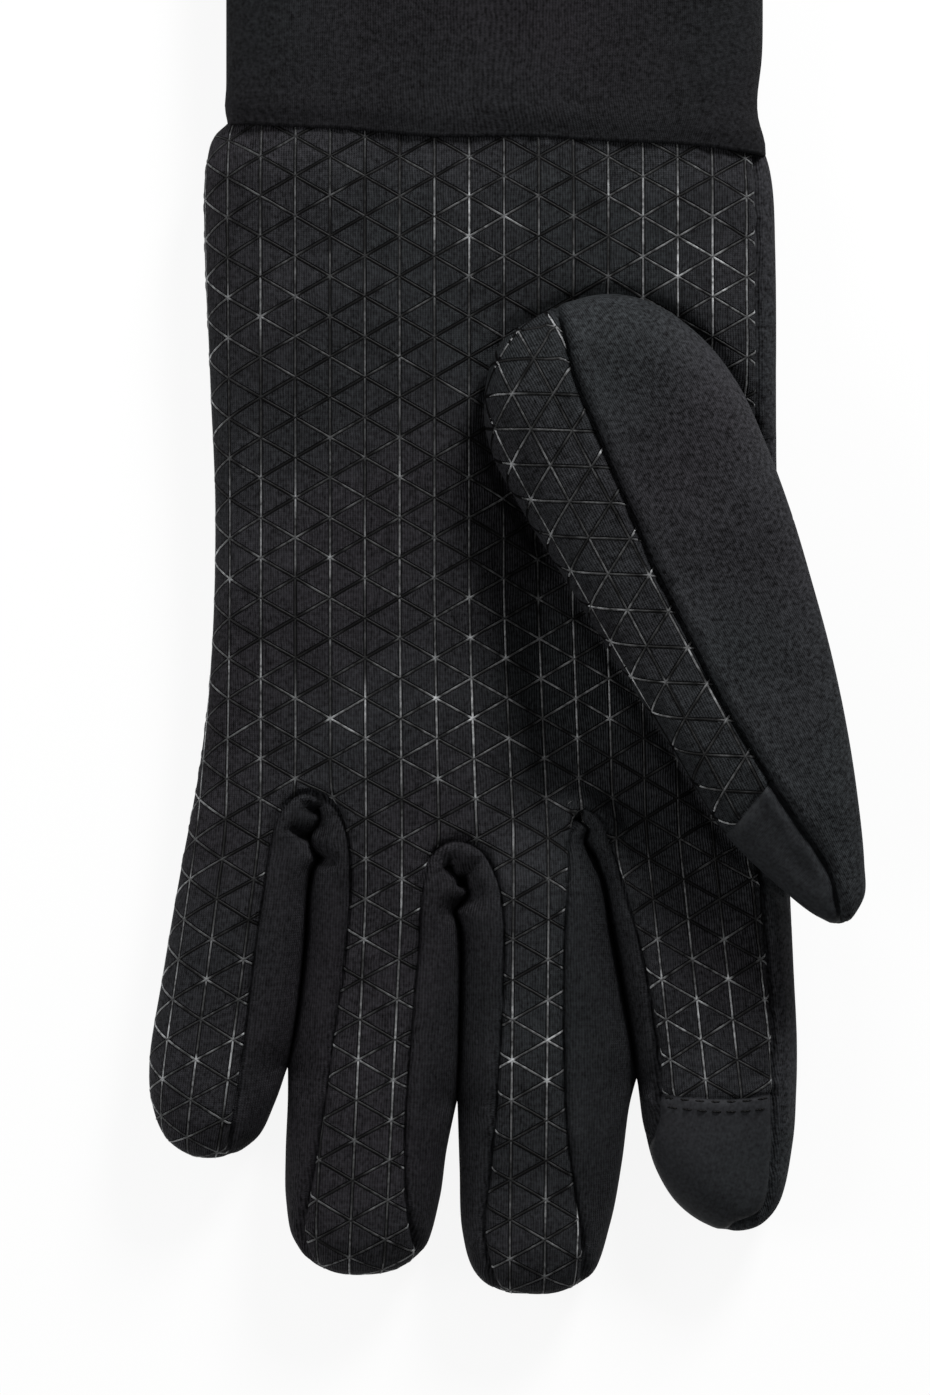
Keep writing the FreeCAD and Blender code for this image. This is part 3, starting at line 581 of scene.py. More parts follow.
def hand_panels():
    """Panel name of each triangle of the hand's skin, and the body's name."""
    centres, top = hand.centres, hand.top_face
    finger = fingers_of(centres)
    folded = np.zeros(len(centres), bool)
    for name, y in ROOTS.items():
        folded |= (finger == name) & (centres[:, 1] < y)
    body = np.where(folded, finger, "hand")
    is_palm = centres[:, 0] < np.where(top, x_on(WRAP_SEAM, centres), x_on(EDGE_SEAM, centres))
    prefix = np.where(folded, np.char.add(finger, "_"), "")
    panel = np.char.add(prefix, np.where(is_palm, "palm_panel", "back_panel")).astype("U40")
    touch_y = np.interp(centres[:, 0], TOUCH_SEAM[:, 0], TOUCH_SEAM[:, 1])
    panel[is_palm & top & (body == "index") & (centres[:, 1] < touch_y)] = "index_touch_tip"
    for arch, (left, right) in PAIR.items():
        in_arch = inside(centres, arch_loops[arch])
        for name, other in ((left, right), (right, left)):
            panel[in_arch & (body == name)] = f"{name}_fourchette_facing_{other}"
        panel[in_arch & (body == "hand")] = f"fourchette_web_{left}_{right}"
    panel[top & inside(centres, THUMB_HOLE)] = "hole"
    return panel, body


def panel_counts(skin):
    """How many triangles each panel of a skin has."""
    names, counts = np.unique(skin.panel, return_counts=True)
    return dict(zip(names.tolist(), counts.tolist()))


hand.panel, hand.body = hand_panels()
print("panels:", panel_counts(hand))

# %% [markdown]
# ## Making a piece
# A layer of fabric is a sheet of triangles, the same sheet again one thickness further in, and a rim that
# joins their borders. Its shading follows the whole skin's normals, so a cut at a finger's root doesn't
# show as an edge.

# %% Fabric pieces
SHELL_THICK = 1.2
pieces = {}


def new_object(name, data):
    """An object in the scene."""
    obj = bpy.data.objects.new(name, data)
    bpy.context.collection.objects.link(obj)
    return obj


def new_mesh(name, points, faces, corner_uv=None):
    """A mesh object from points in millimetres, shaded smooth."""
    mesh = bpy.data.meshes.new(name)
    mesh.from_pydata((points * MM).tolist(), [], faces.tolist() if hasattr(faces, "tolist") else faces)
    if corner_uv is not None:
        layer = mesh.uv_layers.new(name="cloth")
        layer.data.foreach_set("uv", corner_uv.astype(np.float32).ravel())
    mesh.polygons.foreach_set("use_smooth", [True] * len(mesh.polygons))
    return new_object(name, mesh)


def merge(parts):
    """Several (points, faces) as one."""
    verts, faces, offset = [], [], 0
    for points, more in parts:
        verts.append(points)
        faces += [tuple(i + offset for i in face) for face in more]
        offset += len(points)
    return np.vstack(verts), faces


# %% Layers of fabric
def corner_places(skin, chosen):
    """Cloth place of each corner of the chosen triangles."""
    faces = skin.faces[chosen]
    wraps = ~skin.top_face[chosen] & np.char.endswith(skin.panel[chosen], "palm_panel")
    return np.where(wraps[:, None, None], skin.cloth_below[faces], skin.cloth[faces])


def layer(name, skin, chosen, sunk, thick):
    """One layer of fabric over the chosen triangles, its outside sunk below the skin."""
    places = corner_places(skin, chosen)
    used, faces = np.unique(skin.faces[chosen], return_inverse=True)
    faces = faces.reshape(-1, 3)
    count = len(used)
    normals = skin.normals[used]
    outer = skin.points[used] - normals * sunk
    border = border_edges(faces, count)
    a, b = border.T
    rim = np.vstack([np.column_stack([b, a, a + count]), np.column_stack([b, a + count, b + count])])
    all_faces = np.vstack([faces, faces[:, ::-1] + count, rim])
    place_of = np.zeros((count, 2))
    place_of[faces.ravel()] = places.reshape(-1, 2)
    uv = np.concatenate([places, places[:, ::-1], place_of[rim % count]])
    obj = new_mesh(name, np.vstack([outer, outer - normals * thick]), all_faces, uv)
    obj.data.normals_split_custom_set_from_vertices(np.vstack([normals, -normals]).tolist())
    return obj


LINING_SUNK, LINING_THICK = 1.35, 0.9
print("lining", LINING_THICK, "mm thick, sunk", LINING_SUNK, "mm")

# %% Tying pieces to the hand
def move_with(obj, body):
    """Ties a finished piece of the hand to the hand's body. Any other piece only has its placement baked into
    its points.
    """
    if body == "hand":
        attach(obj, "hand")
        return
    body == "thumb"
    name = body if body == "thumb" else f"{body}_finger"
    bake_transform(obj)


def keep(obj, node, body, finish):
    """Notes a finished piece: the construction node it stands for, its body and its material slot."""
    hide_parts(node)
    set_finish(obj, finish)
    move_with(obj, body)
    pieces[node] = obj
    return obj


def finish_of(panel):
    """Material slot of a panel, by its name."""
    if "touch" in panel:
        return "touch_knit"
    if "fourchette" in panel:
        return "fourchette_knit"
    return "palm_knit" if panel.endswith("palm_panel") else "back_knit"


def title(node):
    """A piece's own name."""
    return f"glove_{node}"


def make_panels(skin):
    """Every panel of a skin as a piece."""
    for panel in np.unique(skin.panel):
        if panel == "hole":
            continue
        chosen = skin.panel == panel
        body = skin.body[chosen][0]
        keep(layer(title(panel), skin, chosen, 0.0, SHELL_THICK), str(panel), str(body), finish_of(panel))


print("finishes:", sorted({finish_of(panel) for panel in np.unique(hand.panel)}))

# %% Panels and linings of the hand
make_panels(hand)
for name in ("hand", "little", "ring", "middle", "index"):
    chosen = (hand.body == name) & (hand.panel != "hole")
    keep(layer(title(f"{name}_lining"), hand, chosen, LINING_SUNK, LINING_THICK), f"{name}_lining", name,
         "brushed_lining")
print("pieces so far:", len(pieces))

# %% [markdown]
# ## The thumb
# The thumb lies folded over the palm. It is a second skin, with its own outline. Its rim sinks to the palm
# at its base, so the thumb seems to grow out of the hand, and lifts clear of it towards the tip.

# %% The thumb's skin
THUMB_SEAM = smooth([(8.6, 44.5), (9.4, 40), (10.4, 36.4), (12.1, 29.4), (15.5, 21), (19.6, 11.3),
                     (23.6, 1.9), (26.4, -4.6), (31.1, -14), (36.8, -25.4), (44.6, -38.5), (48.9, -45.3),
                     (54.6, -53.5), (57.2, -58.2), (58, -62.2), (59.6, -68)])
PATCH_SEAM = smooth([(37.4, -52.5), (40.4, -48.8), (43.2, -45.2), (49, -38)])
THUMB_HOLE_IN = THUMB_BASE + (THUMB_HOLE - THUMB_BASE) * (14.8 / HOLE_RADIUS)
THUMB_LOW, THUMB_TOP = (corner.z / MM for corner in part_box("thumb_back_panel"))
THUMB_ROUND = 8.5
THIN_RIM = 2.2       # the thumb's rim is too thin for a lining, this far in
THUMB_TURN, THUMB_NODE = math.radians(28), np.array([1.2, 26.5])


def along_thumb(points):
    """How far plan points lie down the thumb, from its base."""
    return (points - THUMB_BASE) @ THUMB_SPINE


def thumb_sides(points):
    """Heights of the thumb's upper and lower side over plan points."""
    from_rim = distance(points, THUMB_OUTLINE, closed=True)
    down = along_thumb(points)
    lift = ease(down, -16, 34)
    middle = THUMB_LOW + 0.4 + 5.6 * lift
    wide = 12 - (12 - THUMB_ROUND) * ease(down, -10, 45)
    slim = 1 - 0.22 * ease(down, 62, 92)
    top = (THUMB_TOP - 0.7 - middle) * swell(from_rim / wide, 2.2 + 0.3 * lift) * slim
    bottom = (middle - THUMB_LOW) * swell(from_rim / (wide * 0.8), BACK_POWER)
    inner = ease(from_rim, 1.0, 6.0)
    top += inner * (waves(points, 21, 1.2, 5.5) + waves(points, 10, 0.35, 3.3))
    return middle + top, middle - bottom


fold_across = np.array([-THUMB_SPINE[1], THUMB_SPINE[0]])
THUMB_CREASE = THUMB_FOLD + fold_across * np.arange(-45, 46, 0.9)[:, None]
thumb_plan, thumb_faces = triangulate(THUMB_OUTLINE, [THUMB_SEAM, PATCH_SEAM, THUMB_CREASE,
                                                      joined(THUMB_HOLE_IN)], 1.1)
thumb = Skin(thumb_plan, thumb_faces, *thumb_sides(thumb_plan), [joined(THUMB_OUTLINE)])
print("thumb skin:", len(thumb.points), "points")

# %% Seams and panels of the thumb
thumb.press(THUMB_SEAM, "both", deep=1.9, wide=0.75, ridge=0.6, pucker=0.5)
PATCH_SEAM = PATCH_SEAM[PATCH_SEAM[:, 0] < x_on(THUMB_SEAM, PATCH_SEAM)]
thumb.press(PATCH_SEAM, "top", deep=0.4, ridge=0.2)
thumb.finish()
is_left = thumb.centres[:, 0] < x_on(THUMB_SEAM, thumb.centres)
is_free = (thumb.centres - THUMB_FOLD) @ THUMB_SPINE > 0
run = PATCH_SEAM[-1] - PATCH_SEAM[0]
past_patch = (thumb.centres - PATCH_SEAM[0]) @ np.array([run[1], -run[0]]) > 0
thumb.panel = np.where(is_left, "thumb_palm_panel", "thumb_back_panel").astype("U40")
thumb.panel[is_left & past_patch & is_free] = "thumb_touch_tip"
thumb.panel[~is_free] = np.where(is_left[~is_free], "thumb_root_palm_panel", "thumb_root_back_panel")
thumb.panel[~thumb.top_face & inside(thumb.centres, THUMB_HOLE_IN)] = "hole"
thumb.body = np.where(is_free, "thumb", "hand")
thumb.cloth, thumb.cloth_below = (to_grid(places, THUMB_NODE, THUMB_TURN) for places in
                                  cloth_places(thumb, THUMB_OUTLINE, THUMB_ROUND, 7.0, 5.0, closed=True))
make_panels(thumb)
for name, node, chosen in (("thumb", "thumb_lining", is_free), ("hand", "thumb_root_lining", ~is_free)):
    chosen &= (thumb.panel != "hole") & (thumb.from_rim[thumb.faces].min(1) > THIN_RIM)
    keep(layer(title(node), thumb, chosen, LINING_SUNK, LINING_THICK), node, name, "brushed_lining")
print("thumb panels:", panel_counts(thumb))

# %% [markdown]
# ## The printed grip
# The grip is silicone, printed on the palm's cloth as a grid of triangles. Each line is a low bead: where
# a line's band crosses a triangle of the skin, the triangle is clipped to the band, and the bead's height
# follows how far it is from the line's middle. Three families of lines make the grid. Its silvery glints
# are painted highlights in the silicone's colour.

# %% Grip beads
GRID_SIDE = 7.15
GRID_ROW = GRID_SIDE * math.sqrt(3) / 2
BEAD_HALF = 0.19
# place across, in half widths, and height in millimetres
BEAD_PROFILE = [(-1.0, -0.03), (-0.5, 0.08), (0.5, 0.08), (1.0, -0.03)]
# x, y, reach and strength of the places where a highlight is painted on the print
PAINTED_GLINT_SPOTS = [(-3.4, 58, 9, 0.9), (36, 50, 16, 1.0), (24, 60, 10, 0.7), (17, -26, 10, 0.9), (-28.5, -30, 8, 0.8),
         (33, -82, 14, 0.9), (5.5, -88, 14, 0.9), (8, -20, 20, 0.75), (-8, -30, 16, 0.8), (-54, -88, 18, 0.7),
         (-22, -120, 9, 0.6), (7, -123, 8, 0.6), (-48, 40, 14, 0.5), (2, 10, 10, 0.6), (-50, 0, 14, 0.5),
         (-24, -64, 9, 0.7), (45, 25, 14, 0.7), (-20, -92, 16, 0.5), (-44, -30, 14, 0.35), (-25, 5, 15, 0.4)]


def shininess(points, turned, along_family, to_node, seed):
    """0 to 1: how far a painted highlight lifts the print's colour towards silver at points. It is
    strongest in the painted glint spots, at the grid's nodes, where the cloth turns down at an edge,
    and in the lines that run along the hand."""
    x, y = points[:, :2].T
    spot = np.zeros(len(points))
    for a, b, reach, strong in PAINTED_GLINT_SPOTS:
        spot = np.maximum(spot, strong * np.exp(-((x - a) ** 2 + (y - b) ** 2) / (2 * (reach * 0.62) ** 2)))
    streak = lumps(x, y, 2.5, 24, seed)
    patch = lumps(x, y, 6, 6, seed + 5)
    spark = lumps(x, y, 4.6, 4.6, 9.5)
    # The lines that run along the hand carry the most painted highlight.
    line = along_family + (1 - along_family) * 0.8 * spot ** 1.5
    run = line * (0.15 + 0.62 * spot) * np.clip(0.6 + 1.8 * streak, 0.15, 1)
    run += 0.1 * np.clip(2 * patch, 0, 1) ** 2
    # A painted grazing highlight where the cloth turns down at an edge.
    run += 0.5 * np.clip(turned, 0, 1) * np.clip(0.6 + 1.4 * patch, 0.1, 1)
    # Painted glints at the grid's nodes.
    painted_node_glint = np.exp(-(to_node / 0.7) ** 2) * (0.03 + 0.9 * spot) * np.clip(0.05 + 2.4 * spark, 0, 1)
    return np.clip(run * np.clip(0.8 + patch, 0.3, 1) + painted_node_glint, 0, 1)


print("shiny places:", len(PAINTED_GLINT_SPOTS), "grid rows:", round(GRID_ROW, 2), "mm apart")

# %% Beads along the grid
def clip(values, low, high):
    """A triangle clipped to low <= value <= high, as (corner, next corner, way between them) marks."""
    marks = []
    for i in range(3):
        a, b = values[i], values[(i + 1) % 3]
        if low <= a <= high:
            marks.append((i, i, 0.0))
        crossings = [level for level in (low, high) if (a - level) * (b - level) < 0]
        for level in sorted(crossings, reverse=bool(b < a)):
            marks.append((i, (i + 1) % 3, (level - a) / (b - a)))
    return marks


def between(table, a, b, t):
    """A row of a table, t of the way from row a to row b."""
    return table[a] + (table[b] - table[a]) * t


def beads(skin, chosen, family, painted_glint):
    """One family of grid lines over the chosen triangles: points, faces and painted glint of each point."""
    angle = math.radians(60) * family
    places = corner_places(skin, chosen)
    row = places @ np.array([math.cos(angle), math.sin(angle)]) / GRID_ROW
    along = places @ np.array([-math.sin(angle), math.cos(angle)]) / GRID_SIDE
    faces = skin.faces[chosen]
    level = np.round(row.mean(1))
    across = (row - level[:, None]) * GRID_ROW / BEAD_HALF
    hit = np.flatnonzero((across.min(1) < 1) & (across.max(1) > -1))
    lift = 0.02 * family
    points, polygons, number, to_node, turned = [], [], {}, [], []
    for index in hit:
        triangle, values, runs = faces[index], across[index], along[index]
        half_step = 0.5 * (int(level[index]) % 2)
        for (low, low_high), (high, high_high) in zip(BEAD_PROFILE, BEAD_PROFILE[1:]):
            polygon = []
            for i, j, t in clip(values, low, high):
                a, b = int(triangle[i]), int(triangle[j])
                value = between(values, i, j, t)
                key = (min(a, b), max(a, b), int(level[index]), round(value * 2) if a != b else 9)
                if key not in number:
                    number[key] = len(points)
                    tall = lift + low_high + (high_high - low_high) * (value - low) / (high - low)
                    normal = between(skin.normals, a, b, t)
                    points.append(between(skin.points, a, b, t) + normal * tall)
                    step = between(runs, i, j, t) + half_step
                    to_node.append(abs(step - round(step)) * GRID_SIDE)
                    # How steeply the cloth turns from facing up: a grazing highlight is painted where it is
                    # steep.
                    turned.append((0.9 - normal[2]) / 0.45)
                if number[key] not in polygon:
                    polygon.append(number[key])
            if len(polygon) > 2:
                polygons.append(polygon)
    points = np.array(points).reshape(-1, 3)
    if not polygons:
        return points, polygons, np.empty(0)
    return points, polygons, shininess(points, np.array(turned), painted_glint, np.array(to_node), 2.0 + family)


print("a bead is", 2 * BEAD_HALF, "mm wide and", BEAD_PROFILE[1][1], "mm high")

# %% The print of each panel
def grip_print(skin, panel, painted_glints, upward=-1.0):
    """All three families of a panel's print as one piece, where the cloth faces up by at least upward."""
    chosen = (skin.panel == panel) & (skin.normals[skin.faces].mean(1)[:, 2] > upward)
    parts = [beads(skin, chosen, family, painted_glints[family]) for family in range(3)]
    node = panel.replace("palm_panel", "grip_print") if panel != "palm_panel" else "palm_grip_print"
    obj = new_mesh(title(node), *merge(part[:2] for part in parts))
    # How much painted highlight each point of the print gets.
    attribute = obj.data.attributes.new("painted_glint", "FLOAT", "POINT")
    attribute.data.foreach_set("value", np.concatenate([part[2] for part in parts]).astype(np.float32))
    return keep(obj, node, str(skin.body[chosen][0]), "grip_silicone")


# On the hand, the lines that run along it get the most painted highlight.
for panel in ("palm_panel", "little_palm_panel", "ring_palm_panel", "middle_palm_panel", "index_palm_panel"):
    grip_print(hand, panel, (1.0, 0.04, 0.04))
for panel in ("thumb_root_palm_panel", "thumb_palm_panel"):
    grip_print(thumb, panel, (0.32, 0.24, 0.32), 0.45)
print("print:", sum(len(obj.data.polygons) for node, obj in pieces.items() if "print" in node), "faces")

# %% [markdown]
# ## The cuff
# The cuff is a flat tube of plain double knit. Its section has the hand's rounded edges. Near the hand it
# is turned in, as a soft rolled hem that lies over the palm and flares a little on the thumb's side.

# %% Cuff tube
CUFF_START = 73.4
CUFF_END, CUFF_HIGH = (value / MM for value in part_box("cuff_shell")[1].yz)
CUFF_LONG = CUFF_END - CUFF_START
CUFF_LEFT, CUFF_RIGHT, CUFF_GIRTH = -49.9, 46.5, 222.0
AROUND = 420


def hem_y(x):
    """Y of the sloping hem, with its slight waves."""
    return 73.3 + WRIST_SLOPE * x + 0.35 * np.sin(x / 11.0) + 0.2 * np.sin(x / 4.7 + 1.0)


def section(v):
    """The cuff's section at v millimetres past the hem: points and outward normals, in x and z."""
    near_hem, past = math.exp(-(v / 3.4) ** 2), math.exp(-((v - 9) / 6) ** 2)
    left, right = CUFF_LEFT - 0.5 * near_hem, CUFF_RIGHT + 1.4 * near_hem - 1.0 * past
    t = np.linspace(0, 2 * math.pi, AROUND, endpoint=False)
    across = np.sign(np.cos(t)) * np.abs(np.cos(t)) ** 0.82
    x = (left + right) / 2 + across * (right - left) / 2
    inward = np.minimum(x - left, right - x)
    half = (CUFF_HIGH / 2 - 0.25) * swell(inward / 13.0, 2.3)
    is_upper = np.sin(t) > 0
    wave, fine = lumps(x, v, 30, 38, 3.0 + is_upper), lumps(x, v, 9, 20, 8.0 + is_upper)
    soft = ease(inward, 2, 12)
    z = CUFF_HIGH / 2 + np.sign(np.sin(t)) * (half - soft * (0.35 + 0.45 * wave + 0.18 * fine))
    run = np.roll(np.column_stack([x, z]), -1, 0) - np.roll(np.column_stack([x, z]), 1, 0)
    normal = np.column_stack([run[:, 1], -run[:, 0]])
    return np.column_stack([x, z]), normal / np.maximum(np.linalg.norm(normal, axis=1), 1e-9)[:, None]


print("cuff:", round(CUFF_RIGHT - CUFF_LEFT, 1), "mm wide and", round(CUFF_LONG, 1), "mm long")

# %% Bands round the cuff
def tube(name, path):
    """A closed band round the cuff. path is a closed loop of (past the hem, sunk below the surface)."""
    rings = []
    for v, sunk in path:
        flat, normal = section(v)
        flat = flat - normal * sunk
        y = hem_y(flat[:, 0]) + v * (CUFF_END - hem_y(flat[:, 0])) / CUFF_LONG
        rings.append(np.column_stack([flat[:, 0], y, flat[:, 1]]))
    steps = [math.dist(a, b) for a, b in zip(path, path[1:])]
    along = np.cumsum([0.0, *steps, 1.0])
    girth = np.arange(AROUND + 1) * CUFF_GIRTH / AROUND
    i, k = (part[..., None] for part in np.mgrid[:len(path), :AROUND])
    i, k = i + (0, 1, 1, 0), k + (0, 0, 1, 1)
    faces = (i % len(path)) * AROUND + k % AROUND
    uv = np.stack([girth[k], along[i]], -1)
    return new_mesh(name, np.vstack(rings), faces.reshape(-1, 4), uv)


def band(sunk, thick, low, high, bulge, step):
    """A closed path: up the outside, over the far edge, down the inside and round the near edge. The outside
    lies sunk(v) below the surface, and both edges round out by half of bulge."""
    outside = [(v, sunk(v)) for v in np.arange(low, high, step)]
    far = [(high + bulge / 2 * math.sin(a), sunk(high) + bulge / 2 * (1 - math.cos(a)))
           for a in np.linspace(0.3, math.pi - 0.3, 5)]
    inner = [(v, sunk(v) + thick) for v in np.arange(high, low, -step * 2)]
    near = [(low - bulge / 2 * math.sin(a), sunk(low) + thick / 2 * (1 + math.cos(a)))
            for a in np.linspace(0.25, math.pi - 0.25, 6)]
    return outside + far + inner + near


def hem_sunk(v):
    """How deep the cuff's outside lies: its rolled hem turns in, and just past it the cloth stands up."""
    return 0.75 * math.exp(-(v / 2.2) ** 2) - 0.15 * math.exp(-((v - 4) / 2) ** 2)


def facing_sunk(_):
    """The facing lies just inside the shell."""
    return SHELL_THICK + 0.15


print("the hem turns in by", round(hem_sunk(0.0), 2), "mm")

# %% Cuff and facing
HEM_THICK = 1.5
cuff_path = band(hem_sunk, SHELL_THICK, 0.7, CUFF_LONG - SHELL_THICK / 2, HEM_THICK, 1.5)
facing_path = band(facing_sunk, LINING_THICK, 5.0, CUFF_LONG - 2.2, LINING_THICK, 3.0)
keep(tube(title("cuff_shell"), cuff_path), "cuff_shell", "hand", "cuff_knit")
keep(tube(title("cuff_facing"), facing_path), "cuff_facing", "hand", "brushed_lining")
print("cuff:", len(cuff_path), "rows;", "facing:", len(facing_path), "rows")

# %% [markdown]
# ## Thread
# Stitches are short beads of thread, half sunk in the cloth. Inside the cuff, an overlock machine's thread
# coils round the raw edges of the wrist seam.

# %% Stitches and overlock
def thread(points, radius, sides=8):
    """A round thread along points, closed at its ends."""
    points = np.asarray(points, float)
    run = np.gradient(points, axis=0)
    run /= np.linalg.norm(run, axis=1)[:, None]
    up = np.where(np.abs(run[:, 2:]) > 0.9, [[1.0, 0, 0]], [[0, 0, 1.0]])
    side = np.cross(run, up)
    side /= np.linalg.norm(side, axis=1)[:, None]
    other = np.cross(side, run)
    t = np.linspace(0, 2 * math.pi, sides, endpoint=False)
    wide = np.full(len(points), radius)
    wide[[0, -1]] = radius * 0.45
    ring = side[:, None] * np.cos(t)[:, None] + other[:, None] * np.sin(t)[:, None]
    verts = (points[:, None] + ring * wide[:, None, None]).reshape(-1, 3)
    faces = [(i + k, i + (k + 1) % sides, i + sides + (k + 1) % sides, i + sides + k)
             for i in range(0, (len(points) - 1) * sides, sides) for k in range(sides)]
    last = (len(points) - 1) * sides
    faces += [tuple(range(sides))[::-1], tuple(last + k for k in range(sides))]
    return verts, faces


def dashes(skin, line, long, gap, radius, sunk):
    """Stitches along a plan line, lying on the top of a skin."""
    run = np.linalg.norm(np.diff(line, axis=0), axis=1)
    along = np.concatenate([[0], np.cumsum(run)])
    top = np.flatnonzero(~skin.back_point)
    parts = []
    for start in np.arange(0, along[-1] - long, long + gap):
        s = start + np.linspace(0, long, 6)
        place = np.column_stack([np.interp(s, along, line[:, 0]), np.interp(s, along, line[:, 1])])
        near = [top[((skin.plan[top] - p) ** 2).sum(1).argmin()] for p in place]
        arc = np.sin(np.linspace(0, math.pi, 6)) * 0.12
        parts.append(thread(np.column_stack([place, skin.points[near, 2] + arc - sunk]), radius))
    return parts


print("a thread through 3 points has", len(thread(np.eye(3), 0.2)[1]), "faces")

# %% Two rows of stitches
seam = TOUCH_SEAM[(TOUCH_SEAM[:, 0] > 28.0) & (TOUCH_SEAM[:, 0] < 47.3)]
rows = dashes(hand, seam + (0, -0.5), 1.8, 1.0, 0.2, 0.05)
rows += dashes(hand, seam + (0.8, -2.2), 1.7, 0.9, 0.2, 0.05)
stitches = new_mesh(title("index_tip_stitching"), *merge(rows))
keep(stitches, "index_tip_stitching", "index", "thread")
print("stitches:", len(rows))

# %% Overlock coil
flat, normal = section(5.0)
turns, per_turn = 150, 12
t = np.linspace(0, 1, turns * per_turn, endpoint=False)
around_x, around_z, normal_x, normal_z = (np.interp(t * AROUND, np.arange(AROUND + 1), column)
                                          for column in joined(np.hstack([flat, normal])).T)
coil = t * turns * 2 * math.pi
deep = 3.4 + 0.75 * np.cos(coil)
coil_points = np.column_stack([around_x - normal_x * deep, hem_y(around_x) + 6.2 + 1.5 * np.sin(coil),
                               around_z - normal_z * deep])
overlock = new_mesh(title("wrist_overlock"), *thread(coil_points, 0.3, 6))
keep(overlock, "wrist_overlock", "hand", "thread")
print("overlock turns:", turns)

# %% [markdown]
# ## The care label
# A blank woven tape sewn into the cuff. It is a thin block, divided into rows and lifted at its loose end.

# %% Label
low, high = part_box("care_label")
bpy.ops.object.select_all(action="DESELECT")
bpy.ops.mesh.primitive_cube_add(size=1.0, location=(low + high) / 2)
label = bpy.context.active_object
label.name = title("care_label")
label.scale = high - low
bpy.ops.object.transform_apply(location=True, rotation=False, scale=True)
bpy.ops.object.mode_set(mode="EDIT")
bpy.ops.mesh.subdivide(number_cuts=11)
bpy.ops.object.mode_set(mode="OBJECT")
long = high.y - low.y
for vertex in label.data.vertices:
    free = (vertex.co.y - low.y) / long
    vertex.co.z += 1.2 * MM * free ** 2 + 0.25 * MM * math.sin(free * 9) * free
bpy.ops.object.shade_smooth_by_angle(angle=math.radians(40))
keep(label, "care_label", "hand", "label_tape")
print("label:", [round(side / MM, 1) for side in high - low], "mm")

# %% [markdown]
# ## Materials
# Every outer fabric is a near-black knit, so relief and gloss tell them apart. The knit's relief is
# worked out from the cloth places: wales run along the glove, and in every wale the loops repeat. Soft
# noise changes its tone, as in worn and brushed yarn. Shader sums are written as plain arithmetic.

# %% Shader arithmetic
class Value:
    """One output of a shader node. Arithmetic on it adds math nodes."""

    def __init__(self, tree, socket):
        self.tree = tree
        self.socket = socket

    def make(self, kind, out=0, settings=None, **inputs):
        """Any other node, with its settings and inputs, as the Value of one of its outputs."""
        node = self.tree.nodes.new(kind)
        for key, value in (settings or {}).items():
            setattr(node, key, value)
        for key, value in inputs.items():
            self.feed(node.inputs[key.replace("_", " ")], value)
        return Value(self.tree, node.outputs[out])

    def feed(self, target, value):
        if isinstance(value, Value):
            self.tree.links.new(value.socket, target)
        else:
            target.default_value = value

    def also(self, out):
        """Another output of the same node."""
        return Value(self.tree, self.socket.node.outputs[out])

    def maths(self, operation, *values):
        node = self.tree.nodes.new("ShaderNodeMath")
        node.operation = operation
        for target, value in zip(node.inputs, values):
            self.feed(target, value)
        return Value(self.tree, node.outputs[0])

    def __add__(self, other):
        return self.maths("ADD", self, other)

    def __sub__(self, other):
        return self.maths("SUBTRACT", self, other)

    def __rsub__(self, other):
        return self.maths("SUBTRACT", other, self)

    def __mul__(self, other):
        return self.maths("MULTIPLY", self, other)

    def __truediv__(self, other):
        return self.maths("DIVIDE", self, other)

    def sine(self):
        return self.maths("SINE", self)

    def mixed(self, low, high):
        """A colour between two, by this value."""
        return self.make("ShaderNodeMix", out=2, settings={"data_type": "RGBA"}, Factor=self, A=low, B=high)


print("a value can", [name for name in vars(Value) if name[0] != "_"])

# %% Tints and starting points
NEUTRAL, GLINT_TINT = (1, 1, 1), (0.98, 1, 1.02)
VIOLET, TEAL = (1.03, 0.97, 1.12), (0.89, 0.99, 1.07)


def tinted(tone, tint=NEUTRAL):
    """A grey of a given lightness, with a faint tint."""
    return tuple(tone * part for part in tint) + (1.0,)


def cloudy(start, scale, detail, **more):
    """Soft noise through the object."""
    place = start.make("ShaderNodeTexCoord", out=3)
    return start.make("ShaderNodeTexNoise", Vector=place, Scale=scale, Detail=detail, **more)


def emboss(start, shader, height, strength, distance):
    """Gives a material its relief."""
    bump = start.make("ShaderNodeBump", Strength=strength, Distance=distance, Height=height)
    start.feed(shader.inputs["Normal"], bump)


def start_material(name, roughness, sheen=0.0, specular=0.1):
    """A material, its shader node and a Value to start from."""
    material = bpy.data.materials.new(name)
    material.use_nodes = True
    tree = material.node_tree
    shader = tree.nodes["Principled BSDF"]
    shader.inputs["Roughness"].default_value = roughness
    shader.inputs["Sheen Weight"].default_value = sheen
    shader.inputs["Specular IOR Level"].default_value = specular
    return material, shader, Value(tree, None)


print("a warm and a cool dye:", VIOLET, TEAL)

# %% Knit
TURN = 2 * math.pi


def grid_lines(u, v):
    """1 on the printed grid's lines and 0 beside them, from cloth places."""
    nearest_line = None
    for family in range(3):
        angle = math.radians(60) * family
        row = u * (math.cos(angle) / GRID_ROW) + v * (math.sin(angle) / GRID_ROW)
        away = row.maths("PINGPONG", row, 0.5) * GRID_ROW
        nearest_line = away if nearest_line is None else away.maths("MINIMUM", away, nearest_line)
    beside = 1.0 - nearest_line / 0.44
    return beside.maths("MAXIMUM", beside, 0.0)


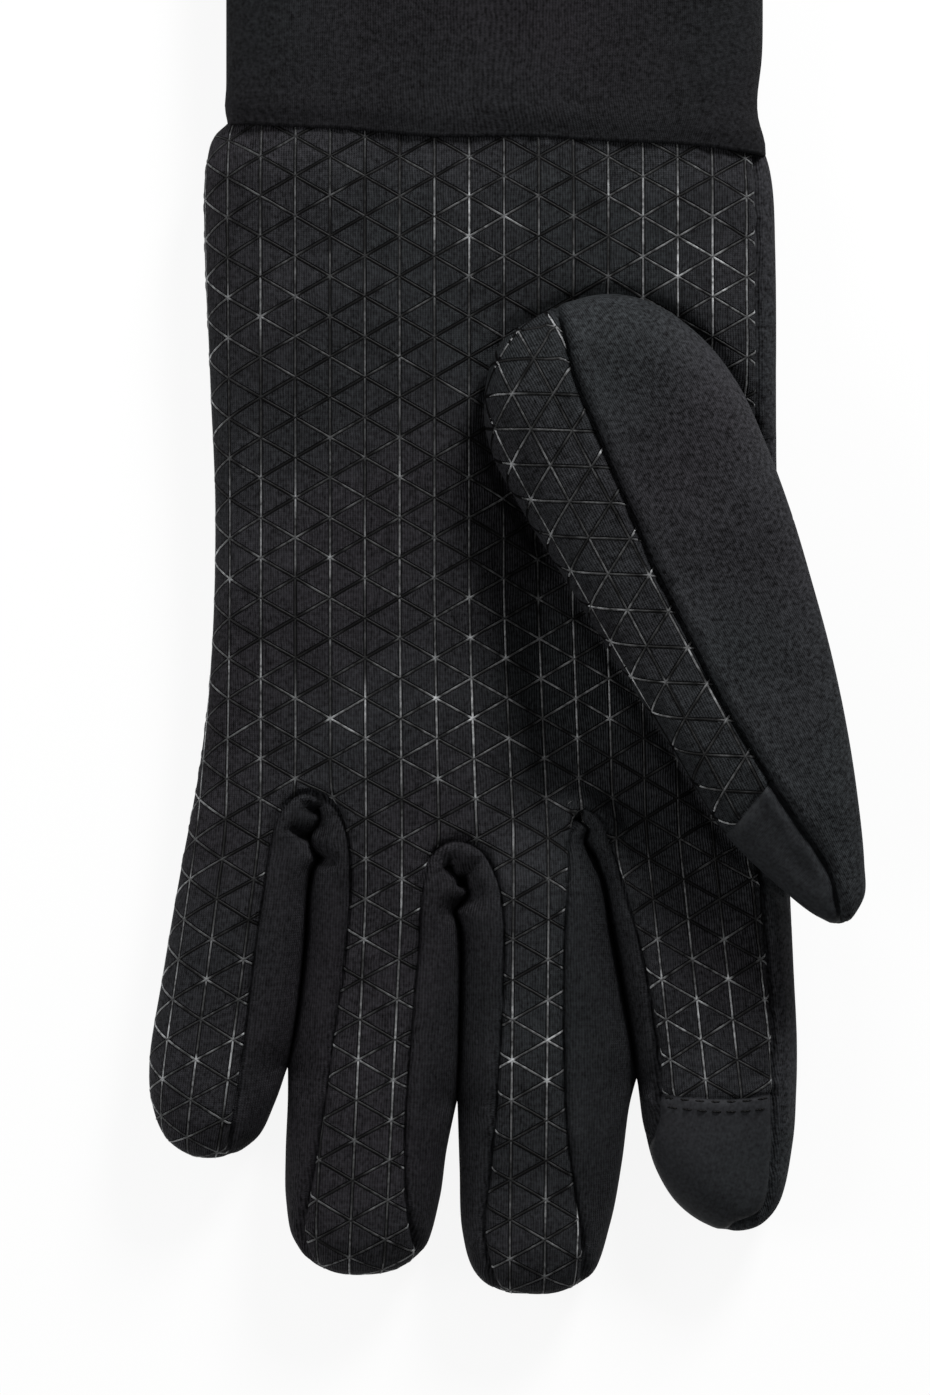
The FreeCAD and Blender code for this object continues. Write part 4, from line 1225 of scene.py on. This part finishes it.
def knit(name, dark, light, wale, relief, roughness, fuzz=0.35, printed=False):
    """A knit with wales a given width apart, in millimetres of cloth. Printed lines press into it, and a
    painted shade darkens its colour beside them.
    """
    material, shader, start = start_material(name, roughness, specular=0.06)
    cloth = start.make("ShaderNodeUVMap", settings={"uv_map": "cloth"})
    parts = cloth.make("ShaderNodeSeparateXYZ", Vector=cloth)
    u, v = parts, parts.also("Y")
    wales = ((u + cloudy(start, 260.0, 1.0) * (wale * 1.4)) * (TURN / wale)).sine() * 0.5 + 0.5
    loops = ((v + wales * (wale * 0.35)) * (TURN / (wale * 0.8))).sine() * 0.5 + 0.5
    fine, soft = cloudy(start, 1500.0, 1.0), cloudy(start, 55.0, 3.0)
    height = wales * 0.65 + loops * 0.2 + fine * fuzz
    shade = wales * 0.3 + loops * 0.1 + fine * (1.0 + fuzz) + soft * 0.5 - (0.45 + fuzz * 0.5)
    if printed:
        # The grid's lines press a groove into the knit's relief, and beside them its colour is darkened as a
        # painted shade.
        groove_and_painted_shade = grid_lines(u, v)
        height = height - groove_and_painted_shade * 1.5
        shade = shade * (1.0 - groove_and_painted_shade * 2.2)
    dyed = (cloudy(start, 22.0, 1.0) * 3.0 - 1.0).mixed(tinted(light, VIOLET), tinted(light, TEAL))
    start.feed(shader.inputs["Base Color"], shade.mixed(tinted(dark, VIOLET), dyed))
    emboss(start, shader, height, relief, 0.0003)
    return material


knits = {
    "palm_knit": knit("ribbed palm knit", 0.0015, 0.033, 0.46, 0.75, 0.75, printed=True),
    "fourchette_knit": knit("ribbed fourchette knit", 0.002, 0.026, 0.55, 0.8, 0.75),
    "back_knit": knit("plain back knit", 0.003, 0.036, 0.36, 0.45, 0.8, fuzz=0.7),
    "cuff_knit": knit("plain cuff knit", 0.002, 0.019, 0.36, 0.45, 0.8, fuzz=0.5),
    "touch_knit": knit("smooth touch knit", 0.008, 0.031, 0.26, 0.12, 0.6, fuzz=0.1),
}
print("knits:", len(knits))

# %% Silicone, fleece and thread
def silicone(name):
    """Clear black silicone. Where a highlight is painted, its colour is lifted towards silver."""
    material, shader, start = start_material(name, 0.35)
    painted_glint = start.make("ShaderNodeAttribute", out=2, settings={"attribute_name": "painted_glint"})
    bright = painted_glint * (cloudy(start, 1100.0, 2.0) * 3.4 - 0.7)
    # Painted highlight: the base colour goes from black towards silver by the painted glint.
    start.feed(shader.inputs["Base Color"], bright.mixed(tinted(0.0025), tinted(0.42, GLINT_TINT)))
    start.feed(shader.inputs["Roughness"], 0.5 - painted_glint * 0.15)
    return material


def brushed(name, tone):
    """Brushed fleece: short fibres with no clear direction."""
    material, shader, start = start_material(name, 0.95, sheen=0.25)
    pile = cloudy(start, 900.0, 6.0, Roughness=0.75) * 0.7 + cloudy(start, 140.0, 2.0) * 0.3
    start.feed(shader.inputs["Base Color"], pile.mixed(tinted(tone * 0.5), tinted(tone * 1.6)))
    emboss(start, shader, pile, 0.7, 0.0006)
    return material


def twisted(name, tone, pitch):
    """Twisted thread, or woven tape: fine diagonal ribs."""
    material, shader, start = start_material(name, 0.55)
    place = start.make("ShaderNodeTexCoord", out=3)
    parts = place.make("ShaderNodeSeparateXYZ", Vector=place)
    ribs = ((parts + parts.also("Y")) * (TURN / pitch)).sine() * 0.5 + 0.5
    start.feed(shader.inputs["Base Color"], ribs.mixed(tinted(tone * 0.7), tinted(tone * 1.3)))
    emboss(start, shader, ribs, 0.5, 0.0001)
    return material


trims = {
    "grip_silicone": silicone("grip silicone"),
    "brushed_lining": brushed("brushed lining", 0.03),
    "thread": twisted("sewing thread", 0.003, 0.0006),
    "label_tape": twisted("label tape", 0.35, 0.0005),
}
print("other finishes:", len(trims))

# %% Materials of the glove
materials = knits | trims
for node, obj in pieces.items():
    obj.data.materials.clear()
    obj.data.materials.append(materials[obj["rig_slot"]])
for node, obj in frame["nodes"].items():
    obj.data.materials.clear()
    obj.data.materials.append(materials[pieces[node]["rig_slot"]])
print("materials:", len(materials))

# %% [markdown]
# ## Table, light and camera
# The glove lies on a pale table in an even pale room. A soft lamp beyond the cuff shows the folds and drops
# the thumb's shadow on the palm, and a weaker one stands on the little finger's side. The camera looks
# straight down through a long lens.

# %% Stage
bpy.ops.object.select_all(action="DESELECT")
bpy.ops.mesh.primitive_plane_add(size=6.0, location=(0, 0, -0.6 * MM))
table = bpy.context.active_object
table.name = "table"
paper, shader, start = start_material("pale table", 0.9)
start.feed(shader.inputs["Base Color"], cloudy(start, 40.0, 3.0).mixed(tinted(0.93), tinted(0.96)))
glow = start.make("ShaderNodeEmission", Color=(1, 1, 1, 1), Strength=1.0)
rays = start.make("ShaderNodeLightPath", out="Is Camera Ray")
seen = rays.also("Is Glossy Ray") + rays.also("Is Transmission Ray") + rays
seen = seen.maths("MINIMUM", seen, 1.0)
GLOW_SHARE = 0.9
surface = start.make("ShaderNodeMixShader", Fac=seen * GLOW_SHARE)
start.tree.links.new(shader.outputs[0], surface.socket.node.inputs[1])
start.tree.links.new(glow.socket, surface.socket.node.inputs[2])
start.tree.links.new(surface.socket, start.tree.nodes["Material Output"].inputs["Surface"])
table.data.materials.append(paper)
print("table:", [round(side, 1) for side in table.dimensions], "m")

# %% Room and lamps
world = bpy.data.worlds.new("room")
bpy.context.scene.world = world
world.use_nodes = True
background = world.node_tree.nodes["Background"].inputs
background["Color"].default_value = (1, 1, 1, 1)
background["Strength"].default_value = 0.26


def soft_light(name, place, size, power):
    """A square light that faces the glove."""
    light = bpy.data.lights.new(name, "AREA")
    light.size = size
    light.energy = power
    lamp = new_object(name, light)
    lamp.location = place
    lamp.rotation_euler = (-lamp.location).to_track_quat("-Z", "Y").to_euler()


soft_light("window_light", (0.44, 0.88, 0.5), 0.3, 16.5)
soft_light("left_light", (-1.0, 0.1, 0.6), 0.6, 6.3)

# %% Camera
VIEW_HIGH, LENS, SENSOR = 0.2491, 100.0, 36.0
VIEW_MIDDLE = Vector((-7.0, -26.6, 12.0)) * MM
camera_data = bpy.data.cameras.new("camera")
camera_data.lens = LENS
camera_data.sensor_width = SENSOR
camera_data.sensor_fit = "AUTO"
camera = new_object("camera", camera_data)
camera.location = VIEW_MIDDLE + Vector((0, 0, VIEW_HIGH * LENS / SENSOR))
bpy.context.scene.camera = camera
bpy.context.scene.view_settings.view_transform = "Standard"
print("camera at", camera.location)
